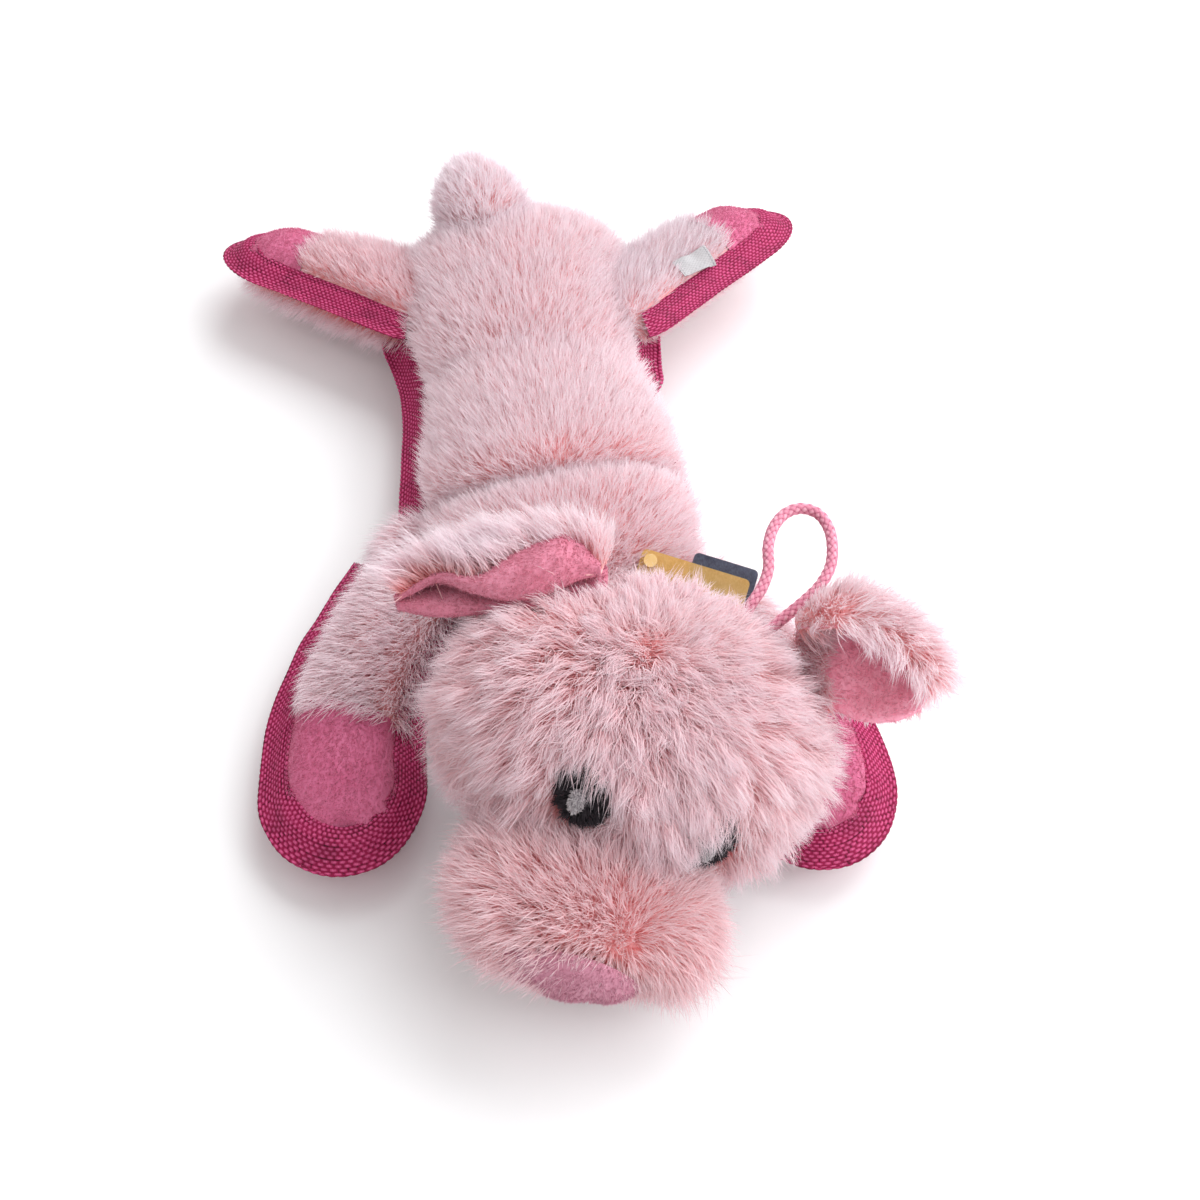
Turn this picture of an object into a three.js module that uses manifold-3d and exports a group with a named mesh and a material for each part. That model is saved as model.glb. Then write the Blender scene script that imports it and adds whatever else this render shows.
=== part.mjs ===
// A plush pig dog toy lying on its belly, in millimetres, +Z up, head towards -Y.
// The origin is on the floor, under the middle of the belly's flat resting face.
import * as THREE from 'three';
import { mergeVertices } from 'three/addons/utils/BufferGeometryUtils.js';
import Module from 'manifold-3d';

const wasm = await Module();
wasm.setup();

// Cloth, clearances and webbing
const SKIN = 3;
const SEAT = 0.3;
const RUNNING = 0.7;
const SEAM = 0.4;
const FILL_GAP = 0.4;
const WEBBING_WIDTH = 8;
const WEBBING_HALF_THICKNESS = 5.5;
const SEAM_HEIGHT = 20;
const BIG = 400;

// Torso, from the neck end to the rump
const TORSO = {
  start: [0, -45],
  heading: 90,
  length: 235,
  ends: [28, 38],
  half: [[0, 40], [0.14, 50], [0.28, 53], [0.56, 46], [0.74, 51], [0.9, 47], [1, 36]],
  top: [[0, 24], [0.14, 34], [0.3, 39], [0.56, 34], [0.76, 37], [0.9, 34], [1, 26]],
  bottom: [[0, 20.5], [1, 20.5]],
  stations: 16,
  sides: 16,
};
const RUMP = TORSO.start[1] + TORSO.length;
const FLANK_WEBBING = { left: [34, RUMP - 72], right: [4, RUMP - 86] };
const STUFFING = { side: 14, hip_side: 24, hip_from: 0.6, end: 9, slack: 3, stations: 11, sides: 12 };
const LINING_FACETS = { stations: 10, sides: 10 };

// Legs: shoulder or hip point, heading in plan, roll about the leg, and how far it bends
const FRONT_LEG = {
  length: 131,
  ends: [20, 25],
  half: [[0, 20], [0.45, 19], [0.8, 20.5], [1, 20]],
  top: [[0, 17], [0.4, 18], [0.8, 15], [1, 12]],
  bottom: [[0, 15], [0.6, 16.3], [1, 14]],
  pad: 52,
};
const HIND_LEG = {
  length: 86,
  ends: [17, 20],
  half: [[0, 26], [0.4, 22], [0.8, 18], [1, 16]],
  top: [[0, 17], [0.4, 17], [0.8, 15], [1, 12]],
  bottom: [[0, 17], [0.6, 16], [1, 12]],
  pad: 34,
};
const LEG_STATIONS = 11;
const LEG_SIDES = 10;
const LEG_ROOM = { behind: 2, ahead: 1.4 };
const WEBBING_ROOT = 0.45;
const LEGS = {
  front_left: { form: FRONT_LEG, at: [-52, 3, 15.2], heading: -125, turn: 34, roll: 0 },
  front_right: { form: FRONT_LEG, at: [48, -38, 15.2], heading: -60, turn: -36, roll: 0, shorter: 22, inner_from: 62 },
  hind_left: { form: HIND_LEG, at: [-42, RUMP - 47, 24], heading: 146, turn: 4, roll: 20 },
  hind_right: { form: HIND_LEG, at: [44, RUMP - 62, 24], heading: 32, turn: -2, roll: -20 },
};
const SPREAD_DEG = 32;
const LIFT_DEG = 40;

// Neck: a stuffed sleeve that the head turns and nods on
const NECK = { at: [6, -60, 38], radius: 20, bore: 12, around: 16 };
const HEAD_TURN_DEG = 18;
const HEAD_NOD_DEG = 25;
const TURN_SHARES = [0, 0.25, 0.5, 0.75, 1];

// Head, in its own frame: x to the right of the photograph, -y to the face, z up
const HEAD = { at: [9, -108, 52], yaw: -14, roll: 15, pitch: -4 };
const SKULL = {
  start: [0, 50],
  heading: -90,
  length: 100,
  ends: [50, 46],
  half: [[0, 61], [0.5, 65], [1, 61]],
  top: [[0, 45], [0.5, 45], [1, 43]],
  bottom: [[0, 42], [0.6, 44], [1, 44]],
  stations: 13,
  sides: 16,
};
const CROWN_HALF_WIDTH = 22;
const MUZZLE = {
  start: [-7, -18],
  heading: -90,
  length: 70,
  ends: [30, 26],
  half: [[0, 36], [0.6, 43], [1, 40]],
  top: [[0, 22], [0.6, 24], [1, 21]],
  bottom: [[0, 22], [0.6, 24], [1, 22]],
  stations: 10,
  sides: 14,
};
const MUZZLE_DROP = 17;
const NOSE = { half_width: 24, half_height: 15, drop: 5, thickness: 2.2, shift: -4 };
const EYE = { half_width: 8.5, half_height: 9, thickness: 1.8 };
const EYES_AT = { left: [-18, 16.5], right: [26, 8.5] };
const GLINT = { half_width: 2.8, half_height: 4.2, drop: 1, shift: -1.5, thickness: 1 };

// Ears: a leaf of fur and lining folded along its middle into a cup. base is the
// point where it is sewn to the head, lip the start of its lower edge from there
const EAR = {
  girth: 73,
  fur: 4,
  lining: 1.6,
  reach: [[0, 32], [0.25, 50], [0.5, 60], [0.75, 54], [1, 34]],
  root: 12,
  lining_trim: 3,
  fold_share: [0.3, 0.75],
  stations: 12,
  sides: 8,
};
const EARS = {
  left: { base: [-21, -71, 80], out: [-0.9, 0.42, 0.08], back: [0.3, 0.9, 0.3], lip: [-5, -6], fold: -168 },
  right: { base: [58.5, -93, 67.5], out: [0.93, -0.32, -0.16], back: [0.15, 0.85, 0.5], lip: [-18, -5], fold: 160 },
};
const EAR_FLAP_DEG = [-15, 30];

const TAIL = {
  at: [-9, RUMP - 22, 43],
  rise: 38,
  heading: 106,
  length: 28,
  ends: [13, 15],
  half: [[0, 15], [0.5, 17], [1, 13]],
  top: [[0, 13], [0.5, 15], [1, 11]],
  bottom: [[0, 13], [0.5, 14], [1, 11]],
  stations: 8,
  sides: 10,
};
const TAIL_SWING_DEG = 22;
const TAIL_OPENING = 0.5;

// Squeakers: a moulded bladder with a reed plug
const SQUEAKER = {
  radius: 19, shoulder: 15.2, height: 20, wall: 1.2, mouth: 4.5, around: 12,
  reed_gap: 0.3, air_hole: 1.2, reed_height: 7,
};
const TORSO_SQUEAKER_AT = [0, 70, 27];
const HEAD_SQUEAKER_AT = [0, -4, 4];
const VENT_RADIUS = 6;

// Hang loop: a braided cord sewn into the head's rear seam beside the right ear
const LOOP_DIAMETER = 3.8;
const LOOP_POINTS = [
  [51, -80, 58], [53, -76, 63], [57, -71, 66], [62.5, -65, 68], [66, -58.5, 70], [67.5, -50.5, 71.5],
  [71, -43, 73], [76.5, -38, 74], [82.5, -37, 74.5], [88, -40, 74], [90.5, -46.5, 73], [90, -54.5, 72],
  [87.5, -62, 70.5], [82.5, -68, 68.5], [76.5, -72, 66.5], [70, -75.5, 64.5], [64, -78.5, 62.5], [58.5, -81, 60],
  [55, -83, 56],
];
const LOOP_STEPS = 26;
const LOOP_SIDES = 8;

// Swing tag and care label
const CARD = { thickness: 0.6, width: 42, depth: 14, leaf_width: 25, leaf_depth: 14, leaf_shift: [2, 1.5], gap: 0.4 };
const CARD_PLACE = { corner: [27.5, -24, 46.5], along: [38, -18, -5], down: [-0.1, -0.86, -0.5] };
const PIN = { radius: 0.8, head: 2.6, head_height: 1, length: 7, inset: 4, around: 12 };
const LABEL = { from: 24, to: 44, inner: -7, outer: -20, edge: 6, thickness: 1 };

const COLOURS = {
  fur: 0xf3c7cb,
  velour: 0xd9739f,
  webbing: 0xb8246a,
  lining: 0xc96d93,
  eye: 0x17151a,
  glint: 0xcfcfd2,
  fill: 0xf4f2ee,
  squeaker: 0xe9e6dc,
  cord: 0xe58fab,
  card: 0xe3c46c,
  leaf: 0x6d7587,
  label: 0xf1f0ee,
};
const FINISH = {
  fur: 0.95, velour: 0.9, webbing: 0.75, lining: 0.88, eye: 0.85, glint: 0.8,
  fill: 1, squeaker: 0.5, cord: 0.7, card: 0.6, leaf: 0.6, label: 0.45,
};
const materials = Object.fromEntries(Object.entries(COLOURS).map(([name, color]) => [
  name,
  new THREE.MeshStandardMaterial({ name, color, roughness: FINISH[name], metalness: 0 }),
]));

const rad = THREE.MathUtils.degToRad;

// Solids: between three.js geometries and closed manifolds
function toSolid(geometry) {
  const bare = geometry.clone();
  bare.deleteAttribute('normal');
  bare.deleteAttribute('uv');
  const merged = mergeVertices(bare, 1e-4);
  return new wasm.Manifold(new wasm.Mesh({
    numProp: 3,
    vertProperties: Float32Array.from(merged.attributes.position.array),
    triVerts: Uint32Array.from(merged.index.array),
  }));
}

function toGeometry(solid) {
  const mesh = solid.getMesh();
  const geometry = new THREE.BufferGeometry();
  geometry.setAttribute('position', new THREE.BufferAttribute(Float32Array.from(mesh.vertProperties), 3));
  geometry.setIndex(new THREE.BufferAttribute(Uint32Array.from(mesh.triVerts), 1));
  geometry.computeVertexNormals();
  return geometry;
}

const moved = (solid, matrix) => solid.transform(matrix.elements);
const joined = (solids) => solids.reduce((a, b) => a.add(b));
const cut = (solid, ...tools) => tools.reduce((a, b) => a.subtract(b), solid);

function block(low, high) {
  const size = high.map((v, i) => v - low[i]);
  const geometry = new THREE.BoxGeometry(...size);
  geometry.translate(...low.map((v, i) => v + size[i] / 2));
  return toSolid(geometry);
}

// An oval bar along the frame's Y axis
function ovalBar([x, z], halfWidth, halfHeight, fromY, toY) {
  const geometry = new THREE.CylinderGeometry(1, 1, toY - fromY, 16);
  geometry.scale(halfWidth, 1, halfHeight);
  geometry.translate(x, (fromY + toY) / 2, z);
  return toSolid(geometry);
}

function ball([x, y, z], radius, around = 20) {
  const geometry = new THREE.SphereGeometry(radius, around, Math.round(around * 0.6));
  geometry.translate(x, y, z);
  return toSolid(geometry);
}

const above = (z) => block([-BIG, -BIG, z], [BIG, BIG, BIG]);
const below = (z) => block([-BIG, -BIG, -BIG], [BIG, BIG, z]);

// A value that swells and tapers along a limb, through [share of the length, value] stations
function swell(stations, u) {
  const last = stations.length - 1;
  let i = 0;
  while (i < last - 1 && u > stations[i + 1][0]) i += 1;
  const at = (k) => stations[Math.min(last, Math.max(0, k))];
  const [u1, v1] = at(i);
  const [u2, v2] = at(i + 1);
  const slope = (a, b) => (b[0] > a[0] ? (b[1] - a[1]) / (b[0] - a[0]) : 0);
  const m1 = i === 0 ? 0 : slope(at(i - 1), at(i + 1));
  const m2 = i + 1 === last ? 0 : slope(at(i), at(i + 2));
  const w = u2 - u1;
  const t = THREE.MathUtils.clamp((u - u1) / w, 0, 1);
  const [t2, t3] = [t * t, t * t * t];
  return (2 * t3 - 3 * t2 + 1) * v1 + (t3 - 2 * t2 + t) * w * m1 + (3 * t2 - 2 * t3) * v2 + (t3 - t2) * w * m2;
}

// The line that a stuffed form follows in its own plane, turning between two shares of its length
function spine({ start = [0, 0], heading = 0, length, turn = 0, from = 0, to = 1 }) {
  const STEPS = 80;
  const headingAt = (s) => rad(heading + turn * THREE.MathUtils.smoothstep(s / length, from, to));
  const points = [[...start]];
  for (let i = 0; i < STEPS; i += 1) {
    const angle = headingAt(((i + 0.5) / STEPS) * length);
    const [x, y] = points[i];
    points.push([x + Math.cos(angle) * length / STEPS, y + Math.sin(angle) * length / STEPS]);
  }
  return (s) => {
    const inside = THREE.MathUtils.clamp(s, 0, length);
    const index = Math.min(STEPS - 1, Math.floor((inside / length) * STEPS));
    const share = (inside / length) * STEPS - index;
    const angle = headingAt(inside);
    const past = s - inside;
    const [a, b] = [points[index], points[index + 1]];
    return {
      x: a[0] + (b[0] - a[0]) * share + Math.cos(angle) * past,
      y: a[1] + (b[1] - a[1]) * share + Math.sin(angle) * past,
      angle,
    };
  };
}

// A stuffed form: oval sections along its line, drawn in to a round at both ends.
// grow makes the same form larger or smaller by that much all round, trim shortens
// both ends along the same line, and offset lays it beside that line.
function stuffed(form, grow = 0, change = {}) {
  const f = { trim: 0, offset: 0, ...form, ...change };
  const line = spine(f);
  const ends = f.ends.map((radius) => radius + grow);
  const [low, high] = [f.trim - grow, f.length - f.trim + grow];
  const drawnIn = (s) => {
    const depth = Math.min((s - low) / ends[0], (high - s) / ends[1], 1);
    return Math.sqrt(Math.max(0, 1 - (1 - depth) ** 2));
  };
  const positions = [];
  const index = [];
  const pole = (s) => {
    const { x, y } = line(s);
    positions.push(x, y, 0);
    return positions.length / 3 - 1;
  };
  const first = pole(low);
  const ring = (k, j) => 1 + (k - 1) * f.sides + (j % f.sides);
  for (let k = 1; k < f.stations; k += 1) {
    const s = low + (high - low) * (1 - Math.cos((Math.PI * k) / f.stations)) / 2;
    const u = THREE.MathUtils.clamp(s / f.length, 0, 1);
    const { x, y, angle } = line(s);
    const size = drawnIn(s);
    const half = (swell(f.half, u) + grow) * size;
    const rise = (swell(f.top, u) + grow) * size;
    const fall = (swell(f.bottom, u) + grow) * size;
    for (let j = 0; j < f.sides; j += 1) {
      const around = (2 * Math.PI * j) / f.sides;
      const side = Math.cos(around) * half + f.offset;
      const up = Math.sin(around) * (Math.sin(around) > 0 ? rise : fall);
      positions.push(x - Math.sin(angle) * side, y + Math.cos(angle) * side, up);
    }
  }
  const last = pole(high);
  for (let j = 0; j < f.sides; j += 1) {
    index.push(first, ring(1, j + 1), ring(1, j));
    for (let k = 1; k < f.stations - 1; k += 1) {
      const [a, b, c, d] = [ring(k, j), ring(k, j + 1), ring(k + 1, j + 1), ring(k + 1, j)];
      index.push(a, c, d, a, b, c);
    }
    index.push(last, ring(f.stations - 1, j), ring(f.stations - 1, j + 1));
  }
  const geometry = new THREE.BufferGeometry();
  geometry.setAttribute('position', new THREE.Float32BufferAttribute(positions, 3));
  geometry.setIndex(index);
  return toSolid(geometry);
}

// Every place that a solid takes while it turns about a line, as one solid
function swept(solid, pivot, axis, angles) {
  return joined(angles.map((degrees) => moved(solid, turnAbout(pivot, axis, degrees))));
}

function turnAbout(pivot, axis, degrees) {
  const matrix = new THREE.Matrix4().makeTranslation(...pivot);
  matrix.multiply(new THREE.Matrix4().makeRotationAxis(new THREE.Vector3(...axis).normalize(), rad(degrees)));
  return matrix.multiply(new THREE.Matrix4().makeTranslation(...pivot.map((v) => -v)));
}

const toy = new THREE.Group();
toy.name = 'pig_dog_toy';

function add(parent, name, solid, material) {
  const mesh = new THREE.Mesh(toGeometry(solid), materials[material]);
  mesh.name = name;
  parent.add(mesh);
  return mesh;
}

function frameOf(group) {
  group.updateMatrixWorld(true);
  return group.matrixWorld.clone();
}

// Leg frame: x along the leg from its shoulder or hip, z up through its upper fur
function legGroup({ at, heading, roll }) {
  const group = new THREE.Group();
  group.position.set(...at);
  group.rotation.order = 'ZYX';
  group.rotation.set(rad(roll), 0, rad(heading));
  toy.add(group);
  return group;
}

function legForm({ form, turn, shorter = 0 }) {
  const root = form.ends[0];
  return {
    ...form,
    start: [-root, 0],
    length: form.length + root - shorter,
    turn,
    from: 0.25,
    to: 0.95,
    stations: LEG_STATIONS,
    sides: LEG_SIDES,
  };
}

const legFrames = {};
for (const [name, leg] of Object.entries(LEGS)) {
  legFrames[name] = legGroup(leg);
}

// The room that a leg needs in the torso while it moves, in the toy's frame
function legRoom(name) {
  const leg = LEGS[name];
  const form = legForm(leg);
  const root = form.ends[0];
  const room = stuffed(form, RUNNING).intersect(block([-LEG_ROOM.behind * root, -BIG, -BIG], [LEG_ROOM.ahead * root, BIG, BIG]));
  return swept(moved(room, frameOf(legFrames[name])), leg.at, ...legMotion(name).turns);
}

// Front legs spread about an upright line, hind legs lift about a level one
function legMotion(name) {
  const leg = LEGS[name];
  const front = leg.form === FRONT_LEG;
  const upright = [0, 0, name.endsWith('left') ? -1 : 1];
  const level = [Math.sin(rad(leg.heading)), -Math.cos(rad(leg.heading)), 0];
  const [axis, most] = front ? [upright, SPREAD_DEG] : [level, LIFT_DEG];
  return { turns: [axis, [0, most / 2, most]], reversed: [axis, [0, -most / 2, -most]] };
}

// Head frame and the room that the head needs while it turns and nods
const headGroup = new THREE.Group();
headGroup.position.set(...HEAD.at);
headGroup.rotation.order = 'ZYX';
headGroup.rotation.set(rad(HEAD.pitch), rad(HEAD.roll), rad(HEAD.yaw));
toy.add(headGroup);

function headRoom(turns, nods) {
  const placed = moved(stuffed(SKULL, RUNNING), frameOf(headGroup));
  const nodded = swept(placed, NECK.at, [-1, 0, 0], nods);
  return swept(nodded, NECK.at, [0, 0, 1], turns);
}

const headSweep = headRoom([-HEAD_TURN_DEG, 0, HEAD_TURN_DEG], [0, HEAD_NOD_DEG]);
const neckSeat = ball(NECK.at, NECK.radius + RUNNING, NECK.around);

// Tail frame: x along the tail, from the rump
const tailGroup = new THREE.Group();
tailGroup.position.set(...TAIL.at);
tailGroup.rotation.order = 'ZYX';
tailGroup.rotation.set(0, rad(-TAIL.rise), rad(TAIL.heading));
toy.add(tailGroup);
const tailForm = { ...TAIL, start: [-TAIL.ends[0], 0], heading: 0, length: TAIL.length + TAIL.ends[0] };
const tailRoom = swept(
  moved(stuffed(tailForm, RUNNING), frameOf(tailGroup)), TAIL.at, [1, 0, 0],
  [-TAIL_SWING_DEG, 0, TAIL_SWING_DEG],
);

// Torso: back and belly panels over one stuffing, with a squeaker inside
const atSeam = new THREE.Matrix4().makeTranslation(0, 0, SEAM_HEIGHT);
const torsoForm = (grow, change) => moved(stuffed(TORSO, grow, change), atSeam);
const torsoCuts = [headSweep, neckSeat, tailRoom, ...Object.keys(LEGS).map(legRoom)];

function squeakerPocket([x, y, z], toY) {
  const grown = SQUEAKER.radius + FILL_GAP;
  const half = SQUEAKER.height / 2 + FILL_GAP;
  const pocket = new THREE.CylinderGeometry(grown, grown, 2 * half, 16);
  pocket.rotateX(Math.PI / 2);
  pocket.translate(x, y, z);
  const channel = ovalBar([x, z], VENT_RADIUS, VENT_RADIUS, Math.min(y, toY), Math.max(y, toY));
  return toSolid(pocket).add(channel);
}

function buildTorso() {
  const outer = torsoForm(0).intersect(above(0));
  const inner = torsoForm(-SKIN, LINING_FACETS).intersect(above(SKIN));
  const { side, hip_side, hip_from, end, slack, stations, sides } = STUFFING;
  const half = TORSO.half.map(([u, w]) => [u, w - (u > hip_from ? hip_side : side)]);
  const core = torsoForm(-SKIN - FILL_GAP - slack, {
    half,
    stations,
    sides,
    start: [0, TORSO.start[1] + end],
    length: TORSO.length - 2 * end,
  }).intersect(above(SKIN + FILL_GAP));
  const shell = outer.subtract(inner);
  const back = shell.intersect(above(SEAM_HEIGHT + SEAM / 2));
  const belly = shell.intersect(below(SEAM_HEIGHT - SEAM / 2));
  add(toy, 'back_panel', cut(back, ...torsoCuts), 'fur');
  add(toy, 'belly_panel', cut(belly, ...torsoCuts), 'fur');
  const pocket = squeakerPocket(TORSO_SQUEAKER_AT, TORSO.length);
  add(toy, 'torso_stuffing', cut(core, pocket, ...torsoCuts), 'fill');
  const flat = [[0, WEBBING_HALF_THICKNESS], [1, WEBBING_HALF_THICKNESS]];
  const wide = TORSO.half.map(([u, w]) => [u, w + WEBBING_WIDTH]);
  const band = cut(torsoForm(0, { half: wide, top: flat, bottom: flat }), torsoForm(SEAT), ...torsoCuts);
  for (const [name, [fromY, toY]] of Object.entries(FLANK_WEBBING)) {
    const region = name === 'left' ? block([-BIG, fromY, -BIG], [0, toY, BIG]) : block([0, fromY, -BIG], [BIG, toY, BIG]);
    add(toy, `flank_webbing_${name}`, band.intersect(region), 'webbing');
  }
}

function addSqueaker(parent, prefix, [x, y, z]) {
  const { radius, shoulder, height, wall, mouth, around, air_hole, reed_height, reed_gap } = SQUEAKER;
  const outside = [[mouth, height / 2], [shoulder, height / 2], [radius, height / 4], [radius, -height / 4]];
  const base = [[shoulder, -height / 2], [0, -height / 2]];
  const inside = [
    [0, wall - height / 2], [shoulder - wall, wall - height / 2], [radius - wall, -height / 4],
    [radius - wall, height / 4], [shoulder - wall, height / 2 - wall], [mouth, height / 2 - wall],
  ];
  const profile = [...outside, ...base, ...inside, [mouth, height / 2]].map((p) => new THREE.Vector2(...p));
  const plug = mouth - reed_gap;
  const reed = [
    [air_hole, height / 2], [air_hole, height / 2 - reed_height], [plug, height / 2 - reed_height],
    [plug, height / 2], [air_hole, height / 2],
  ].map((p) => new THREE.Vector2(...p));
  for (const [name, points] of [['bladder', profile], ['reed', reed]]) {
    const geometry = new THREE.LatheGeometry(points, around);
    geometry.rotateX(Math.PI / 2);
    let solid = toSolid(geometry);
    if (solid.volume() < 0) {
      geometry.index.array.reverse();
      solid = toSolid(geometry);
    }
    const mesh = add(parent, `${prefix}_squeaker_${name}`, solid, 'squeaker');
    mesh.position.set(x, y, z);
  }
}

// One leg: upper fur, velour paw, under fur, stuffing and the webbing folded over its edge
function buildLeg(name) {
  const leg = LEGS[name];
  const group = legFrames[name];
  const form = legForm(leg);
  const toHere = frameOf(group).invert();
  const headHere = moved(headRoom(TURN_SHARES.map((share) => share * HEAD_TURN_DEG), [0]), toHere);
  const floor = moved(below(0), toHere);
  const clear = name === 'front_right' ? [floor, headHere] : [floor];
  const outer = stuffed(form);
  const shell = outer.subtract(stuffed(form, -SKIN));
  const seen = spine(form)(form.length);
  const padEdge = { x: seen.x - leg.form.pad * Math.cos(seen.angle), y: seen.y - leg.form.pad * Math.sin(seen.angle) };
  const padBlock = block([0, -BIG, -BIG], [BIG, BIG, BIG]);
  const padFrame = new THREE.Matrix4().makeRotationZ(seen.angle).setPosition(padEdge.x, padEdge.y, 0);
  const padRegion = moved(padBlock, padFrame);
  const furRegion = moved(padBlock, padFrame.clone().multiply(new THREE.Matrix4().makeTranslation(-SEAM, 0, 0)));
  const upper = shell.intersect(above(SEAM / 2));
  add(group, `${name}_leg_upper`, cut(upper, furRegion, ...clear), 'fur');
  add(group, `${name}_paw_pad`, cut(upper.intersect(padRegion), ...clear), 'velour');
  add(group, `${name}_leg_under`, cut(shell.intersect(below(-SEAM / 2)), ...clear), 'fur');
  add(group, `${name}_leg_stuffing`, cut(stuffed(form, -SKIN - FILL_GAP), ...clear), 'fill');
  const flat = [[0, WEBBING_HALF_THICKNESS], [1, WEBBING_HALF_THICKNESS]];
  const half = form.half.map(([u, w]) => [u, w + WEBBING_WIDTH]);
  const ends = [form.ends[0], form.ends[1] + WEBBING_WIDTH];
  const band = stuffed(form, 0, { half, top: flat, bottom: flat, ends, length: form.length + WEBBING_WIDTH });
  const rootBlock = block([-BIG, -BIG, -BIG], [leg.form.ends[0] * WEBBING_ROOT, BIG, BIG])
    .add(block([-BIG, -BIG, -BIG], [leg.inner_from ?? 0, 0, BIG]));
  const torsoHere = moved(swept(torsoForm(RUNNING), leg.at, ...legMotion(name).reversed), toHere);
  add(group, `${name}_webbing`, cut(band, stuffed(form, SEAT), rootBlock, torsoHere, ...clear), 'webbing');
  if (name === 'hind_right') {
    const patch = stuffed(form, SEAT + LABEL.thickness).subtract(stuffed(form, SEAT));
    const place = block([LABEL.from, LABEL.outer, LABEL.edge], [LABEL.to, LABEL.inner, BIG]);
    add(group, 'care_label', patch.intersect(place), 'label');
  }
}

function buildNeck() {
  const [x, y, z] = NECK.at;
  const sleeve = ball(NECK.at, NECK.radius, NECK.around);
  const bore = ovalBar([x, z], NECK.bore, NECK.bore, y - BIG, y + BIG);
  const plug = ovalBar([x, z], NECK.bore - FILL_GAP, NECK.bore - FILL_GAP, y - BIG, y + BIG);
  add(toy, 'neck_sleeve', sleeve.subtract(bore), 'fur');
  add(toy, 'neck_stuffing', ball(NECK.at, NECK.radius - SEAT, NECK.around).intersect(plug), 'fill');
}

// Head: a crown gusset between two side panels, over the stuffing and its squeaker
function buildHead() {
  const here = frameOf(headGroup).invert();
  const neckHere = moved(neckSeat, here);
  const skull = (grow) => stuffed(SKULL, grow);
  const shell = cut(skull(0), skull(-SKIN), neckHere);
  const crown = block([-CROWN_HALF_WIDTH, -BIG, 0], [CROWN_HALF_WIDTH, BIG, BIG]);
  const crownSeam = block(
    [-CROWN_HALF_WIDTH - SEAM, -BIG, -SEAM], [CROWN_HALF_WIDTH + SEAM, BIG, BIG],
  );
  const sides = shell.subtract(crownSeam);
  add(headGroup, 'crown_gusset', shell.intersect(crown), 'fur');
  add(headGroup, 'head_panel_left', sides.intersect(block([-BIG, -BIG, -BIG], [-SEAM / 2, BIG, BIG])), 'fur');
  add(headGroup, 'head_panel_right', sides.intersect(block([SEAM / 2, -BIG, -BIG], [BIG, BIG, BIG])), 'fur');
  const pocket = squeakerPocket(HEAD_SQUEAKER_AT, SKULL.length);
  add(headGroup, 'head_stuffing', cut(skull(-SKIN - FILL_GAP), pocket, neckHere), 'fill');

  const drop = new THREE.Matrix4().makeTranslation(0, 0, -MUZZLE_DROP);
  const snout = (grow) => moved(stuffed(MUZZLE, grow), drop);
  const headFace = skull(SEAT);
  add(headGroup, 'muzzle_fur', cut(snout(0), snout(-SKIN), headFace), 'fur');
  add(headGroup, 'muzzle_stuffing', cut(snout(-SKIN - FILL_GAP), headFace), 'fill');
  const front = [MUZZLE.start[1] - MUZZLE.length - BIG, MUZZLE.start[1] - MUZZLE.length / 2];
  const noseBar = ovalBar(
    [MUZZLE.start[0] + NOSE.shift, -MUZZLE_DROP - NOSE.drop], NOSE.half_width, NOSE.half_height, ...front,
  );
  const nose = snout(SEAT + NOSE.thickness).subtract(snout(SEAT)).intersect(noseBar);
  add(headGroup, 'nose_pad', nose, 'velour');

  for (const [side, centre] of Object.entries(EYES_AT)) {
    const eyeBar = ovalBar(centre, EYE.half_width, EYE.half_height, -BIG, 0);
    const patch = cut(skull(SEAT + EYE.thickness), skull(SEAT)).intersect(eyeBar);
    add(headGroup, `eye_patch_${side}`, cut(patch, snout(SEAT)), 'eye');
    const glintBar = ovalBar([centre[0] + GLINT.shift, centre[1] - GLINT.drop], GLINT.half_width, GLINT.half_height, -BIG, 0);
    const low = 2 * SEAT + EYE.thickness;
    add(headGroup, `eye_glint_${side}`, skull(low + GLINT.thickness).subtract(skull(low)).intersect(glintBar), 'glint');
  }
}

// Ear frame: z out of the head, x back along the lower lip, y square to both
function earGroup({ base, out, back }) {
  const z = new THREE.Vector3(...out).normalize();
  const x = new THREE.Vector3(...back);
  x.addScaledVector(z, -z.dot(x)).normalize();
  const group = new THREE.Group();
  group.position.set(...base);
  group.setRotationFromMatrix(new THREE.Matrix4().makeBasis(x, new THREE.Vector3().crossVectors(z, x), z));
  toy.add(group);
  return group;
}

// One layer of an ear: a strip that starts at the lower lip and curls over to the upper one
function earLayer({ lip, fold }, thickness, offset, trim) {
  const up = Math.sign(fold);
  const even = [[0, thickness / 2], [1, thickness / 2]];
  return {
    start: [lip[0], up * lip[1]],
    length: EAR.girth,
    turn: fold,
    from: EAR.fold_share[0],
    to: EAR.fold_share[1],
    ends: [thickness, thickness],
    half: even,
    top: EAR.reach.map(([u, reach]) => [u, reach - trim]),
    bottom: [[0, EAR.root], [1, EAR.root]],
    offset: up * offset,
    trim,
    stations: EAR.stations,
    sides: EAR.sides,
  };
}

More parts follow.
